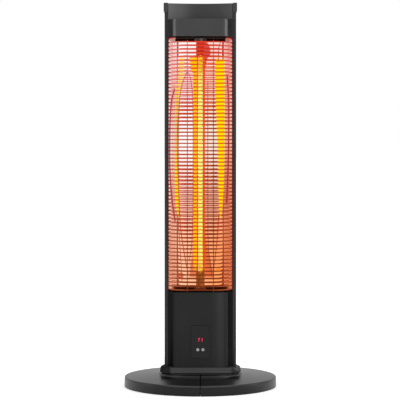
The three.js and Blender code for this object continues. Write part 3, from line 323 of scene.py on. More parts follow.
def plated_metal(name, color, roughness):
    """Zinc-plated steel: fine spangle in the tone and the gloss."""
    g = Graph(name)
    spangle = g.noise(1.5, 4.0)
    rough = g.ramp(spangle, *FINE_SPAN, roughness - 0.06, roughness + 0.08)
    shade = g.mix(g.ramp(spangle, *FINE_SPAN), tuple(0.85 * c for c in color), color)
    return g.finish(
        g.principled(Base_Color=shade, Metallic=1.0, Roughness=rough, Normal=g.bump(spangle, 0.15, 0.02))
    )


def across(*points):
    """A factor that follows (x, factor) points from left to right."""
    values = [value for _, value in points]
    return lambda g: g.curve(list(points), min(values), max(values), g.x)


def base_painted_shade_and_highlights(g):
    """Painted shade and highlights: black in the seam between the halves, lighter along the rounded edges of
    the rim, mostly at the front, and of the plinth, mostly at its ends, and a little lighter towards the
    back."""
    seam = g.ramp(g.aside(), 1.0, 1.5)
    radius = g.length(g.x, g.y)
    rim_edge = g.math(
        "MULTIPLY",
        g.ramp(radius, BASE_RADIUS - 5.5, BASE_RADIUS - RIM_EDGE),
        g.ramp(g.z, RIM_TOP - 3.5, RIM_TOP - 2.5),
    )
    rim = g.math("MULTIPLY", rim_edge, g.ramp(g.aside(), 50, 110, 1.5, -0.1))
    plinth_edge = g.math(
        "MULTIPLY",
        g.ramp(radius, PLINTH_RADIUS - 3.5, PLINTH_RADIUS - 2),
        g.ramp(g.z, PLINTH_TOP - 1.6, PLINTH_TOP - 0.8),
    )
    plinth = g.math("MULTIPLY", plinth_edge, g.ramp(g.aside(), 55, 95, 0.9, 4.0))
    depth = g.ramp(g.y, -150, 70, -0.22, 0.2, smooth=False)
    painted_light = g.math("ADD", g.math("ADD", rim, depth), plinth)
    return g.math("MULTIPLY", seam, g.math("ADD", 1.0, painted_light))


# Painted light and shade: factors on the paints' colour and gloss from left to right, the object's soft
# shading in the photograph.
panel_shade = across(
    (-66, 0.6), (-64.5, 0.6), (-64, 0.12), (-61.6, 0.35), (-58, 0.65), (-54, 0.95), (-40, 1.05), (20, 1.05),
    (37, 1.25), (46, 1.55), (52, 1.4), (56, 1.0), (60, 0.5), (64, 0.4), (64.5, 0.6), (66, 0.6),
)


def panel_gloss(g):
    """The panels' painted light and shade on the gloss, and matt on the housing's top, under the glowing
    parts.
    """
    housing_top = limits("lower_front_cover")[1][2]
    return g.math("MULTIPLY", panel_shade(g), g.ramp(g.z, housing_top - 2, housing_top - 0.7, 1, 0))


barrel_shade = across((-66, 0.5), (-64, 1.0), (64, 1.0), (66, 0.5))
handle_shade = across((-72, 2.0), (-40, 1.55), (0, 1.0), (40, 1.05), (72, 1.25))
collar_shade = across((-96, 1.2), (-80, 1.0), (-66, 1.0), (66, 1.05), (80, 1.0), (96, 1.2))
collar_gloss = across((-96, 0.0), (-74, 0.0), (-66, 1.0), (66, 1.05), (76, 0.1), (96, 0.0))
# Painted light: the top housing and the handle have the lower panels' black, painted lighter because more
# light falls on them.
LIT_TOP_BLACK = (0.022, 0.0221, 0.0225)
panel_paint = grained_plastic(
    "panel_paint", (0.0074, 0.0075, 0.0076), 0.46, specular=0.2, shade=panel_shade, gloss=panel_gloss
)
lit_top_paint = grained_plastic("lit_top_paint", LIT_TOP_BLACK, 0.38, shade=handle_shade)
lit_barrel_paint = grained_plastic("lit_barrel_paint", LIT_TOP_BLACK, 0.38, shade=barrel_shade)
base_plastic = grained_plastic(
    "base_plastic", (0.0065, 0.0066, 0.0068), 0.38, specular=0.28, shade=base_painted_shade_and_highlights
)
trim_plastic = grained_plastic(
    "trim_plastic", (0.018, 0.0182, 0.0185), 0.42, specular=0.45, shade=collar_shade, gloss=collar_gloss
)
rail_anodised = grained_plastic("rail_anodised", (0.008, 0.0081, 0.0085), 0.3, specular=0.4, grain=2.0)
cap_plastic = grained_plastic("cap_plastic", (0.022, 0.0222, 0.023), 0.4)
rubber = grained_plastic("rubber", (0.012, 0.012, 0.012), 0.75, specular=0.25)
window_gloss = grained_plastic("window_gloss", (0.007, 0.0071, 0.0073), 0.22, specular=0.2, relief=0.005)
switch_gloss = grained_plastic("switch_gloss", (0.012, 0.012, 0.013), 0.2, relief=0.01)
bracket_paint = grained_plastic("bracket_paint", (0.010, 0.006, 0.005), 0.6, specular=0.0)
board_green = grained_plastic("board_green", (0.015, 0.09, 0.045), 0.4)
relay_blue = grained_plastic("relay_blue", (0.02, 0.06, 0.22), 0.35)
terminal_white = grained_plastic("terminal_white", (0.6, 0.57, 0.5), 0.5)
zinc_steel = plated_metal("zinc_steel", (0.55, 0.56, 0.58), 0.32)
display_body = grained_plastic("display_body", (0.03, 0.004, 0.005), 0.3)


# Painted reflections: stripes of light that the coil throws on the sheet, as (z, left, right) points, and
# lines as (z, x).
WIDE_BAND = [
    (404, 46.5, 49.5), (451, 43.5, 54.5), (546, 41.4, 57),
    (641, 37.4, 57.8), (722, 35.3, 57.4), (774, 35.3, 57),
]
NARROW_BAND = [(404, -54, -51), (451, -60, -50.5), (500, -61, -53.5), (545, -61, -55.5), (594, -60, -56.5)]
FAINT_BAND = [(585, -59, -56.5), (641, -60.8, -53.6), (689, -60, -47.6), (735, -53, -40.4), (774, -50, -38.4)]
NEAR_BAND = [(292, -16.6, -7.6), (727, -16.6, -7.6), (750, -21, -7.6), (778, -26, -7.6)]
FAR_BAND = [(271, 6.2, 11.0), (776, 6.2, 11.0)]
TOP_FLARE = [(757, -24, 12), (776, -16, 16), (790, -7, 24), (806, -6, 22), (822, -8, 12)]
LOW_FLARE = [(262, -26, 33), (285, -24, 27), (310, -19, 21), (350, -17, 13)]
# Lines come with their width.
DARK_LINES = [
    ([(394, -60.2), (470, -69.5), (546, -72.6), (603, -72.2), (663, -69.6), (703, -61.6)], 3.4),
    ([(437, 62.6), (546, 66.4), (641, 67.3), (736, 63.8)], 3.2),
]
TUBE_SHADES = [([(271, -6.8), (776, -6.8)], 1.5), ([(271, 5.5), (776, 5.5)], 1.5)]
FINE_LINE_SPREAD = 1.4  # how much wider the light of these lines is
FINE_LINES = [
    ([(268, -29.5), (300, -35.6), (332, -41.2), (370, -46.3), (410, -49.5)], 1.8),
    ([(410, -49.5), (451, -51), (546, -52.4), (641, -51.4), (689, -48.3), (748, -31.2)], 1.5),
    ([(299, -26), (356, -19.4), (451, -17.2), (594, -17.2), (674, -18), (722, -22), (748, -31.2)], 1.3),
    ([(262, 27.5), (285, 24.5), (320, 19.8), (356, 18.0)], 1.6),
    ([(356, 18.0), (540, 17.7), (722, 17.7)], 1.3),
    ([(262, 31), (285, 32.5), (309, 35.6), (350, 40.0), (404, 43.6)], 1.7),
    ([(252, -43.6), (332, -48.3), (404, -53.1)], 1.4),
    ([(772, 42.6), (803, 44.1), (817, 47.9)], 1.6),
    ([(774, 53.3), (807, 51.9)], 1.4),
]
BRACKET_EDGE = 818  # the glow ends here, at the upper bracket


def guard_material():
    """Heat-proof wires with painted glow light given off: red at the top and dark brown lower down, orange in
    front of the bright bands and the tube, and painted shade, dark at their ends by the rails and in front of
    the upper bracket."""
    g = Graph("guard_wire")
    middle = g.mix(g.ramp(g.x, -10, 25), (0.48, 0.035, 0.006), (0.28, 0.030, 0.006))
    low = g.mix(g.ramp(g.aside(), 24, 50), (0.17, 0.024, 0.002), (0.32, 0.06, 0.018))
    lit = g.mix(g.ramp(g.z, 560, 240), middle, low)
    lit = g.mix(g.ramp(g.z, 600, 760), lit, (0.66, 0.045, 0.026))
    top_left = g.math("MULTIPLY", g.ramp(g.x, -20, -40), g.ramp(g.z, 660, 760))
    lit = g.mix(top_left, lit, (0.74, 0.13, 0.10))
    lit = g.mix(g.ramp(g.aside(), 70, 73.5), lit, (0.10, 0.012, 0.008))
    by_tube = g.ramp(g.math("ABSOLUTE", g.math("ADD", g.x, 2.5)), 9, 20, 1, 0)
    by_tube = g.math("MULTIPLY", by_tube, g.ramp(g.z, 268, 300))
    lit = g.mix(g.math("MULTIPLY", by_tube, 0.85), lit, (0.82, 0.045, 0.004))
    for points, amount in ((WIDE_BAND, 0.9), (NARROW_BAND, 0.8), (FAINT_BAND, 0.4)):
        lit = g.mix(g.math("MULTIPLY", g.stripe(points, 3.0, (10, 10)), amount), lit, (0.86, 0.14, 0.002))
    over_coil = g.math("MULTIPLY", g.inside(-4.0, 4.8, 1.5), g.between(280, 762, 10, 15))
    lit = g.mix(g.math("MULTIPLY", over_coil, 0.95), lit, (0.60, 0.20, 0.04))
    shaded = g.math("MULTIPLY", g.inside(-57, 59, 2), g.ramp(g.z, BRACKET_EDGE - 2, BRACKET_EDGE))
    lit = g.mix(shaded, lit, (0.004, 0.003, 0.003))
    grain = g.noise(0.6)
    shade = g.mix(g.ramp(grain, *FINE_SPAN), (0.012, 0.004, 0.003), (0.022, 0.007, 0.005))
    return g.finish(
        g.principled(
            Base_Color=shade,
            Roughness=0.6,
            Specular_IOR_Level=0.08,
            Emission_Color=lit,
            Emission_Strength=1.0,
            Normal=g.bump(grain, 0.2, 0.03),
        )
    )


guard_wire = guard_material()


def quartz_material():
    """Clear tube: mostly see-through, with a faint sheen that is strongest along its edges, and a painted
    mauve shade through its edges.
    """
    g = Graph("quartz")
    edge = g.node("ShaderNodeLayerWeight", 1, Blend=0.3)
    sheen = g.node("ShaderNodeBsdfGlossy", Color=(1.0, 0.85, 0.8), Roughness=0.06)
    tint = g.mix(g.ramp(edge, 0.35, 0.8), (1.0, 0.99, 0.97), (0.40, 0.20, 0.26))
    clear = g.node("ShaderNodeBsdfTransparent", Color=tint)
    amount = g.math("MULTIPLY", edge, g.ramp(g.noise(0.05), *FINE_SPAN, 0.20, 0.30))
    return g.finish(g.blend(amount, clear, sheen))


def coil_material():
    """Glowing wire: yellow along most of the tube and orange towards its ends."""
    g = Graph("glowing_coil")
    banding = g.noise(0.35, stretch=(0.2, 0.2, 1))
    yellow = g.mix(g.ramp(banding, *BROAD_SPAN), (1.0, 0.86, 0.08), (1.0, 0.98, 0.20))
    color = g.mix(g.between(330, 700, 60, 60), (1.0, 0.55, 0.0), yellow)
    strength = g.ramp(banding, *FINE_SPAN, 0.95, 1.1)
    return g.finish(g.node("ShaderNodeEmission", Color=color, Strength=strength))


def ceramic_material():
    """Ceramic ends with painted glow light given off: red above and brown-orange below, darker with painted
    shade at the foot, and the dark clamp at the upper end with painted glints.
    """
    g = Graph("glow_lit_ceramic")
    grain = g.noise(0.25, 3.0, (1, 1, 0.5))
    mottle = g.ramp(grain, *BROAD_SPAN)
    upper = g.mix(mottle, (0.38, 0.006, 0.004), (0.72, 0.03, 0.012))
    lower = g.mix(mottle, (0.12, 0.018, 0.001), (0.42, 0.10, 0.006))
    lower = g.mix(g.ramp(g.z, 237, 235), lower, (0.075, 0.012, 0.003))
    lit = g.mix(g.ramp(g.z, 400, 600), lower, upper)
    clamp = g.ramp(g.z, BRACKET_EDGE - 1.5, BRACKET_EDGE)
    painted_glints = g.math("MULTIPLY", clamp, g.ramp(g.noise(0.22, 0.0, (1, 0.2, 1.6)), 0.52, 0.6))
    lit = g.mix(clamp, lit, (0.004, 0.004, 0.004))
    lit = g.mix(painted_glints, lit, (0.16, 0.165, 0.17))
    return g.finish(
        g.principled(
            Base_Color=g.mix(clamp, (0.05, 0.012, 0.005), (0.006, 0.006, 0.006)),
            Roughness=0.6,
            Specular_IOR_Level=0.1,
            Emission_Color=lit,
            Emission_Strength=0.9,
            Normal=g.bump(grain, 0.3, 0.05),
        )
    )


# How much wider the wires stand on the mirror behind them, seen from the photograph's eye.
MIRROR_SPREAD = 1.0145


def painted_glow_tint(g):
    """Painted reflected glow in the sheet's metal colour: white at the upper left, warmer to the right and
    downwards.
    """
    upper = g.mix(g.ramp(g.x, 2, 14), (1.0, 0.985, 0.97), (0.98, 0.80, 0.68))
    lower = g.mix(g.ramp(g.x, -60, 50), (0.97, 0.52, 0.32), (0.96, 0.33, 0.11))
    tint = g.mix(g.ramp(g.z, 600, 300), upper, lower)
    crown = g.math("MULTIPLY", g.ramp(g.z, 730, 800), g.ramp(g.x, -20, 40, 0.0, 0.35))
    tint = g.mix(crown, tint, (0.98, 0.62, 0.62))
    edge = g.math("MULTIPLY", g.ramp(g.aside(), 58, 66), g.ramp(g.z, 560, 700))
    tint = g.mix(g.math("MULTIPLY", edge, g.ramp(g.x, -30, 30, 0.2, 0.5)), tint, (0.90, 0.40, 0.38))
    corner = g.math("MULTIPLY", g.ramp(g.x, 46, 66), g.ramp(g.z, 700, 480))
    return g.mix(g.math("MULTIPLY", corner, 0.7), tint, (0.86, 0.24, 0.10))


def reflector_material():
    """Polished sheet: a mirror with painted reflected glow in its tint, warmer downwards, and the coil's
    reflections painted on it as glowing streaks and lines, the wings giving off the painted tint, and painted
    shade at its foot.
    """
    g = Graph("reflector_mirror")
    tint = painted_glow_tint(g)
    dark_red = ((0, 0, 0), (0.40, 0.004, 0.006))
    red_reflection_lines = ((0.05, 0.01, 0.01), (0.40, 0.02, 0.006))
    mauve = ((0.05, 0.02, 0.04), (0.22, 0.05, 0.07))
    # Painted reflections of the wires break the bright streaks into dashes.
    lowest_gap = EYE_HEIGHT + (FIRST_WIRE + WIRE_PITCH / 2 - EYE_HEIGHT) * MIRROR_SPREAD
    gaps = g.rungs(lowest_gap, WIRE_PITCH * MIRROR_SPREAD, 0.55, 0.1)
    bright = g.mix(gaps, (0.86, 0.15, 0.0), (1.0, 0.76, 0.0))
    warm = g.mix(gaps, (0.86, 0.07, 0.0), (1.0, 0.56, 0.0))
    faint = g.math("MULTIPLY", g.stripe(FAINT_BAND, 1.2, (12, 14)), gaps)
    foot = g.math("MULTIPLY", g.inside(-62, 62, 3), g.ramp(g.z, 240, 237))
    # Painted reflections and shade: where, the colour that is mirrored there, the light that the sheet gives
    # off, and how much of both.
    streaks = [
        (g.stripe(WIDE_BAND, 1.2, (10, 4)), (0.03, 0.06, 0.0), bright, 1.0),
        (g.stripe(NARROW_BAND, 1.0, (12, 10)), (0.03, 0.06, 0.0), bright, 0.95),
        (faint, (0.1, 0.1, 0.0), (0.93, 0.62, 0.01), 0.85),
        (g.stripe(TOP_FLARE, 2.0, (8, 6)), (0.05, 0.0, 0.0), (0.55, 0.008, 0.004), 0.9),
        (g.stripe(LOW_FLARE, 3.0, (8, 40)), (0.25, 0.03, 0.0), (0.40, 0.05, 0.003), 0.75),
        (g.stripe(NEAR_BAND, 0.9, (25, 6)), (0.03, 0.06, 0.0), warm, 1.0),
        (g.stripe(FAR_BAND, 0.9, (8, 20)), (0.05, 0.05, 0.0), (0.80, 0.07, 0.003), 0.95),
        (g.spot(-45.9, 262.5, 6.5, 7.5), (0.3, 0.05, 0.02), (0.42, 0.03, 0.005), 0.8),
        (g.spot(43, 275.5, 6.5, 4.5), (0.1, 0.05, 0.0), (0.98, 0.20, 0.003), 0.85),
    ]
    streaks += [(g.line(points, width), *dark_red, 0.95) for points, width in DARK_LINES]
    streaks += [(g.line(points, FINE_LINE_SPREAD * width), *red_reflection_lines, 0.85) for points, width in FINE_LINES]
    streaks += [(g.line(points, width), *mauve, 0.85) for points, width in TUBE_SHADES]
    streaks.append((foot, (0.02, 0.0, 0.0), (0.035, 0.006, 0.002), 0.95))
    wings = g.ramp(g.aside(), 52, 60, 0.0, 0.5)
    glow = g.mix(wings, (0, 0, 0), g.mix(1.0, tint, (0.86, 0.60, 0.58), "MULTIPLY"))
    tint = g.mix(wings, tint, (0, 0, 0))
    for mask, mirrored, given, amount in streaks:
        share = g.math("MULTIPLY", mask, amount)
        tint = g.mix(share, tint, mirrored)
        glow = g.mix(share, glow, given)
    return g.finish(
        g.principled(
            Base_Color=tint,
            Metallic=1.0,
            Roughness=g.ramp(g.noise(0.02, stretch=(1, 1, 0.3)), *FINE_SPAN, 0.03, 0.06),
            Emission_Color=glow,
            Emission_Strength=1.0,
        )
    )


# ------------------------------------------------------------------ mesh helpers

SMOOTH_ANGLE = 40  # degrees, up to which an edge is shaded smooth
FLAT_ANGLE = 0.3  # degrees, up to which neighbouring faces are joined
WELD_DISTANCE = 0.002


def add_mesh(name, verts, faces, material, body=TOWER, stands_for=(), smooth=SMOOTH_ANGLE):
    """A new piece from points in millimetres, shaded smooth up to an angle in degrees."""
    mesh = bpy.data.meshes.new(name)
    mesh.from_pydata([tuple(c * MM for c in v) for v in verts], [], faces)
    mesh.update()
    made = bmesh.new()
    made.from_mesh(mesh)
    bmesh.ops.recalc_face_normals(made, faces=made.faces)
    made.to_mesh(mesh)
    made.free()
    return dress(mesh, name, material, body, stands_for, smooth)


def dress(mesh, name, material, body, stands_for, smooth):
    """Makes a mesh a piece on a body, in place of the CAD nodes that it stands for."""
    mesh.shade_smooth()
    mesh.set_sharp_from_angle(angle=math.radians(smooth))
    mesh.materials.clear()
    mesh.materials.append(material)
    piece = bpy.data.objects.new(name, mesh)
    bpy.context.scene.collection.objects.link(piece)
    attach(piece, body)
    if stands_for:
        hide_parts(*stands_for)
    return piece


def refined(node, material, bevel, segments=2, limit=35):
    """A CAD node's own shape on the tower, with the edges sharper than the limit's angle rounded."""
    made = bmesh.new()
    made.from_mesh(NODES[node].data)
    bmesh.ops.remove_doubles(made, verts=made.verts, dist=WELD_DISTANCE * MM)
    bmesh.ops.dissolve_limit(
        made, angle_limit=math.radians(FLAT_ANGLE), verts=made.verts, edges=made.edges, delimit={"NORMAL"}
    )
    mesh = bpy.data.meshes.new(node + "_finish")
    made.to_mesh(mesh)
    made.free()
    piece = dress(mesh, node + "_finish", material, TOWER, (node,), SMOOTH_ANGLE)
    edge = piece.modifiers.new("edges", "BEVEL")
    edge.width = bevel * MM
    edge.segments = segments
    edge.limit_method = "ANGLE"
    edge.angle_limit = math.radians(limit)
    edge.use_clamp_overlap = True
    edge.harden_normals = True


def repaint(node, material):
    """Gives a CAD node's own mesh a material."""
    mesh = NODES[node].data
    mesh.materials.clear()
    mesh.materials.append(material)


def arc(cx, cy, radius, start, end, steps):
    """Points on a circle from one angle to another, in degrees."""
    angles = [math.radians(start + (end - start) * i / steps) for i in range(steps + 1)]
    return [(cx + radius * math.cos(angle), cy + radius * math.sin(angle)) for angle in angles]


def tube_along(points, radius, sides):
    """Vertices and faces of a round bar along points."""
    verts, faces = [], []
    count = len(points)
    for i, p in enumerate(points):
        a, b = Vector(points[max(i - 1, 0)]), Vector(points[min(i + 1, count - 1)])
        along = (b - a).normalized()
        side = Vector((0, 0, 1)) if abs(along.z) < 0.9 else Vector((1, 0, 0))
        u = along.cross(side).normalized()
        v = u.cross(along).normalized()
        for k in range(sides):
            t = 2 * math.pi * k / sides
            verts.append(tuple(Vector(p) + radius * (math.cos(t) * u + math.sin(t) * v)))
    for i in range(count - 1):
        for k in range(sides):
            k2 = (k + 1) % sides
            faces.append((i * sides + k, i * sides + k2, (i + 1) * sides + k2, (i + 1) * sides + k))
    faces.append(tuple(range(sides)))
    faces.append(tuple((count - 1) * sides + k for k in range(sides)))
    return verts, faces


def merged(*parts):
    """Several (vertices, faces) pairs as one."""
    verts, faces = [], []
    for v, f in parts:
        start = len(verts)
        verts.extend(v)
        faces.extend(tuple(i + start for i in face) for face in f)
    return verts, faces


# ------------------------------------------------------------------ base


def half_turned(profile, seam, steps, side):
    """A closed [radius, z] profile turned through the half circle on one side of a straight seam."""
    verts, faces = [], []
    count = len(profile)
    for i in range(steps + 1):
        for r, z in profile:
            skip = math.degrees(math.asin(min(1, seam / r)))
            angle = math.radians(90 + skip + (180 - 2 * skip) * i / steps)
            verts.append((side * -r * math.cos(angle), r * math.sin(angle), z))
    for i in range(steps):
        for k in range(count):
            k2 = (k + 1) % count
            faces.append((i * count + k, i * count + k2, (i + 1) * count + k2, (i + 1) * count + k))
    faces.append(tuple(range(count)))
    faces.append(tuple(steps * count + k for k in range(count)))
    return verts, faces


def base_profile():
    """Outside of the base shell from the rim's foot to the centre hole, and back along its inside."""
    outside = [(BASE_RADIUS - 0.5, SKIRT_BOTTOM), (BASE_RADIUS, SKIRT_BOTTOM + 0.6)]
    outside += arc(BASE_RADIUS - RIM_EDGE, RIM_TOP - RIM_EDGE, RIM_EDGE, 0, 90, 8)
    outside += arc(PLINTH_RADIUS + PLINTH_FILLET, SLOPE_TOP + PLINTH_FILLET, PLINTH_FILLET, 270, 180, 6)
    outside += arc(PLINTH_RADIUS - PLINTH_EDGE, PLINTH_TOP - PLINTH_EDGE, PLINTH_EDGE, 0, 90, 8)
    outside += [(SEAT_RADIUS, PLINTH_TOP), (SEAT_RADIUS, SEAT_TOP), (HOLE_RADIUS, SEAT_TOP)]
    inside = [
        (HOLE_RADIUS, SEAT_TOP - SHELL_WALL),
        (SEAT_RADIUS - SHELL_WALL, SEAT_TOP - SHELL_WALL),
        (SEAT_RADIUS - SHELL_WALL, PLINTH_TOP - SHELL_WALL),
        (PLINTH_RADIUS - SHELL_WALL, PLINTH_TOP - SHELL_WALL),
        (PLINTH_RADIUS - SHELL_WALL, SLOPE_TOP - SHELL_WALL),
        (BASE_RADIUS - SHELL_WALL, SLOPE_TOP - SHELL_WALL - INNER_RISE),
        (BASE_RADIUS - SKIRT_WALL, SKIRT_BOTTOM),
    ]
    return outside + inside


def tongue_profile():
    """A dark wall in the seam between the halves, a little below the shells' outside."""
    bottom = 3
    return [
        (BASE_RADIUS - TONGUE_SINK, bottom),
        (BASE_RADIUS - TONGUE_SINK, RIM_TOP - RIM_EDGE),
        (BASE_RADIUS - RIM_EDGE, RIM_TOP - TONGUE_SINK),
        (PLINTH_RADIUS - 1.5, SLOPE_TOP - TONGUE_SINK),
        (PLINTH_RADIUS - 1.5, PLINTH_TOP - 3),
        (PLINTH_RADIUS - 3, PLINTH_TOP - TONGUE_SINK),
        (SEAT_RADIUS - 2, PLINTH_TOP - TONGUE_SINK),
        (SEAT_RADIUS - 2, SEAT_TOP - 2),
        (HOLE_RADIUS + 1, SEAT_TOP - 2),
        (HOLE_RADIUS + 1, bottom),
    ]


for side, hand in ((1, "left"), (-1, "right")):
    node = f"base_{hand}_half"
    verts, faces = half_turned(base_profile(), HALF_SEAM, 128, side)
    add_mesh(node + "_finish", verts, faces, base_plastic, stands_for=(node,), smooth=50)

for side, place in ((-1, "front"), (1, "rear")):
    tongue = tongue_profile()
    count = len(tongue)
    verts = [(x, side * r, z) for x in (-TONGUE_HALF, TONGUE_HALF) for r, z in tongue]
    faces = [tuple(range(count)), tuple(range(2 * count - 1, count - 1, -1))]
    faces += [(k, (k + 1) % count, count + (k + 1) % count, count + k) for k in range(count)]
    add_mesh(f"seam_tongue_{place}", verts, faces, rubber, smooth=20)

# ------------------------------------------------------------------ shells that keep the CAD's shape

refined("collar", trim_plastic, 0.6)
for node, paint, bevel in (
    ("lower_front_cover", panel_paint, 0.6),
    ("lower_rear_cover", panel_paint, 0.6),
    ("top_front_cover", lit_barrel_paint, 0.8),
    ("top_rear_cover", lit_barrel_paint, 0.8),
    ("handle_front_shell", lit_top_paint, 1.0),
    ("handle_rear_shell", lit_top_paint, 1.0),
):
    refined(node, paint, bevel)
for hand in ("left", "right"):
    refined(f"{hand}_rail", rail_anodised, 0.35)
    refined(f"{hand}_rail_cap", cap_plastic, 0.8, segments=3, limit=30)
refined("control_window", window_gloss, 0.25)

CORNERS = (1, 2, 3, 4)
PAINTED_NODES = (
    (base_plastic, ["base_cover_left", "base_cover_right", "rocker_frame"]),
    (base_plastic, ["tip_switch_body", "tip_switch_plunger"]),
    (zinc_steel, ["ballast_left", "ballast_right", "foot_plate", "tip_switch_spring"]),
    (zinc_steel, [f"base_screw_{i}" for i in CORNERS]),
    (rubber, [f"rubber_foot_{i}" for i in CORNERS] + ["cord_inlet"]),
    (switch_gloss, ["power_rocker"]),
    (bracket_paint, ["thermal_cutout", "lower_element_bracket", "upper_element_bracket"]),
    (board_green, ["control_board", "power_board"]),
    (relay_blue, ["heating_relay"]),
    (terminal_white, ["terminal_block"]),
    (display_body, ["digit_display"]),
)
for paint, names in PAINTED_NODES:
    for node in names:
        repaint(node, paint)

# ------------------------------------------------------------------ guards

# The angle at which a wire's rounded end reaches the side rod's depth.
WIRE_END = math.degrees(math.asin((SIDE_ROD_DEPTH - CORNER_DEPTH) / GUARD_CORNER))


def wire_points(z, side):
    left = arc(-GUARD_FLAT, -CORNER_DEPTH, GUARD_CORNER, 180 + WIRE_END, 270, 12)
    right = arc(GUARD_FLAT, -CORNER_DEPTH, GUARD_CORNER, 270, 360 - WIRE_END, 12)
    return [(x, side * y, z) for x, y in left + right]


def rod(x, y, bottom, top, radius, sides):
    return tube_along([(x, y, bottom + ROD_INSET), (x, y, top - ROD_INSET)], radius, sides)


def guard(side, node):
    """Level wires bent round the front, or the rear for a side of -1, with a rod along their ends."""
    parts = []
    for i in range(WIRES):
        parts.append(tube_along(wire_points(FIRST_WIRE + WIRE_PITCH * i, side), WIRE_RADIUS, 8))
    end_x = GUARD_FLAT + GUARD_CORNER * math.cos(math.radians(WIRE_END)) + 0.3
    for x in (-end_x, end_x):
        parts.append(rod(x, -side * SIDE_ROD_DEPTH, GUARD_LOW[2], GUARD_HIGH[2], SIDE_ROD_RADIUS, 8))
    verts, faces = merged(*parts)
    add_mesh(node + "_wires", verts, faces, guard_wire, stands_for=(node,), smooth=60)


guard(1, "front_guard")
guard(-1, "rear_guard")

for name in ("front_guard_upright", "rear_guard_upright"):
    for hand in ("left", "right"):
        node = f"{name}_{hand}"
        low, high = limits(node)
        x, y = (low[0] + high[0]) / 2, (low[1] + high[1]) / 2
        verts, faces = rod(x, y, low[2], high[2], UPRIGHT_RADIUS, 10)
        add_mesh(node + "_rod", verts, faces, guard_wire, stands_for=(node,), smooth=60)

# ------------------------------------------------------------------ reflectors and elements


def between_points(a, b, c, d, t):
    """The place at a share t of the way from b to c on a smooth line through four points."""
    line = Vector(b) * 2
    line += (Vector(c) - Vector(a)) * t
    line += (Vector(a) * 2 - Vector(b) * 5 + Vector(c) * 4 - Vector(d)) * t**2
    line += (Vector(b) * 3 - Vector(a) - Vector(c) * 3 + Vector(d)) * t**3
    return tuple(line / 2)


def smooth_section(steps):
    """The reflector's section as a smooth line through its points, mirrored about the middle."""
    points = [(-x, depth) for x, depth in reversed(REFLECTOR_SECTION[1:])] + REFLECTOR_SECTION
    last = len(points) - 1
    line = []
    for i in range(last):
        near = [points[max(0, min(i + k, last))] for k in (-1, 0, 1, 2)]
        line += [between_points(*near, s / steps) for s in range(steps)]
    return line + [points[-1]]


def reflector_sheet(side, node, rows=24):
    """The bent sheet, facing the front, or the rear for a side of -1."""
    low, high = limits(node)
    section = smooth_section(8)
    outline = [(x, -side * depth) for x, depth in section]
    outline += [(x, -side * (depth - SHEET_THICKNESS)) for x, depth in reversed(section)]
    count = len(outline)
    levels = [low[2] + (high[2] - low[2]) * i / rows for i in range(rows + 1)]
    verts = [(x, y, z) for z in levels for x, y in outline]
    faces = []
    for start in range(0, rows * count, count):
        for k in range(count):
            k2 = (k + 1) % count
            faces.append((start + k, start + k2, start + count + k2, start + count + k))
    for start in (0, rows * count):
        for k in range(count // 2 - 1):
            faces.append((start + k, start + k + 1, start + count - 2 - k, start + count - 1 - k))
    name = node + "_sheet"
    add_mesh(name, verts, faces, reflector_mirror, stands_for=(node,), smooth=60)


reflector_mirror = reflector_material()
reflector_sheet(1, "front_reflector")
reflector_sheet(-1, "rear_reflector")

quartz = quartz_material()
glowing_coil = coil_material()
glow_lit_ceramic = ceramic_material()


def glass_tube(y, bottom, top, outer, inner, sides):
    """Vertices and faces of an upright round tube, open at both ends, with its axis at x = 0."""
    verts, faces = [], []
    rings = ((outer, bottom), (outer, top), (inner, top), (inner, bottom))
    for radius, z in rings:
        for k in range(sides):
            angle = 2 * math.pi * k / sides
            verts.append((radius * math.cos(angle), y + radius * math.sin(angle), z))
    for ring in range(len(rings)):
        following = (ring + 1) % len(rings)
        for k in range(sides):
            k2 = (k + 1) % sides
            faces.append((ring * sides + k, ring * sides + k2, following * sides + k2, following * sides + k))
    return verts, faces


def coil_points(y, bottom, top):
    """A wound wire with a straight lead at each end, where it winds out over half a turn."""
    height = top - bottom - 2 * COIL_LEAD
    turns = height / COIL_PITCH
    steps = int(turns * COIL_STEPS)
    points = [(0, y, bottom)]
    for i in range(steps + 1):
        turn = turns * i / steps
        radius = COIL_RADIUS * min(1, min(turn, turns - turn) / 0.5)
        angle = 2 * math.pi * turn
        z = bottom + COIL_LEAD + height * i / steps
        points.append((radius * math.cos(angle), y + radius * math.sin(angle), z))
    return points + [(0, y, top)]


for face in ("front", "rear"):
    node = f"{face}_quartz_tube"
    low, high = limits(node)
    y = (low[1] + high[1]) / 2
    verts, faces = glass_tube(y, low[2], high[2], QUARTZ_RADIUS, QUARTZ_RADIUS - QUARTZ_WALL, 48)
    add_mesh(f"{face}_quartz_glass", verts, faces, quartz, stands_for=(node,))
    node = f"{face}_heating_coil"
    low, high = limits(node)
    verts, faces = tube_along(coil_points(y, low[2] + 0.5, high[2] - 0.5), COIL_WIRE, 6)
    add_mesh(f"{face}_coil_wire", verts, faces, glowing_coil, stands_for=(node,))
    for end in ("lower", "upper"):
        refined(f"{face}_{end}_ceramic", glow_lit_ceramic, 0.6, limit=30)

# ------------------------------------------------------------------ window: keys and digits


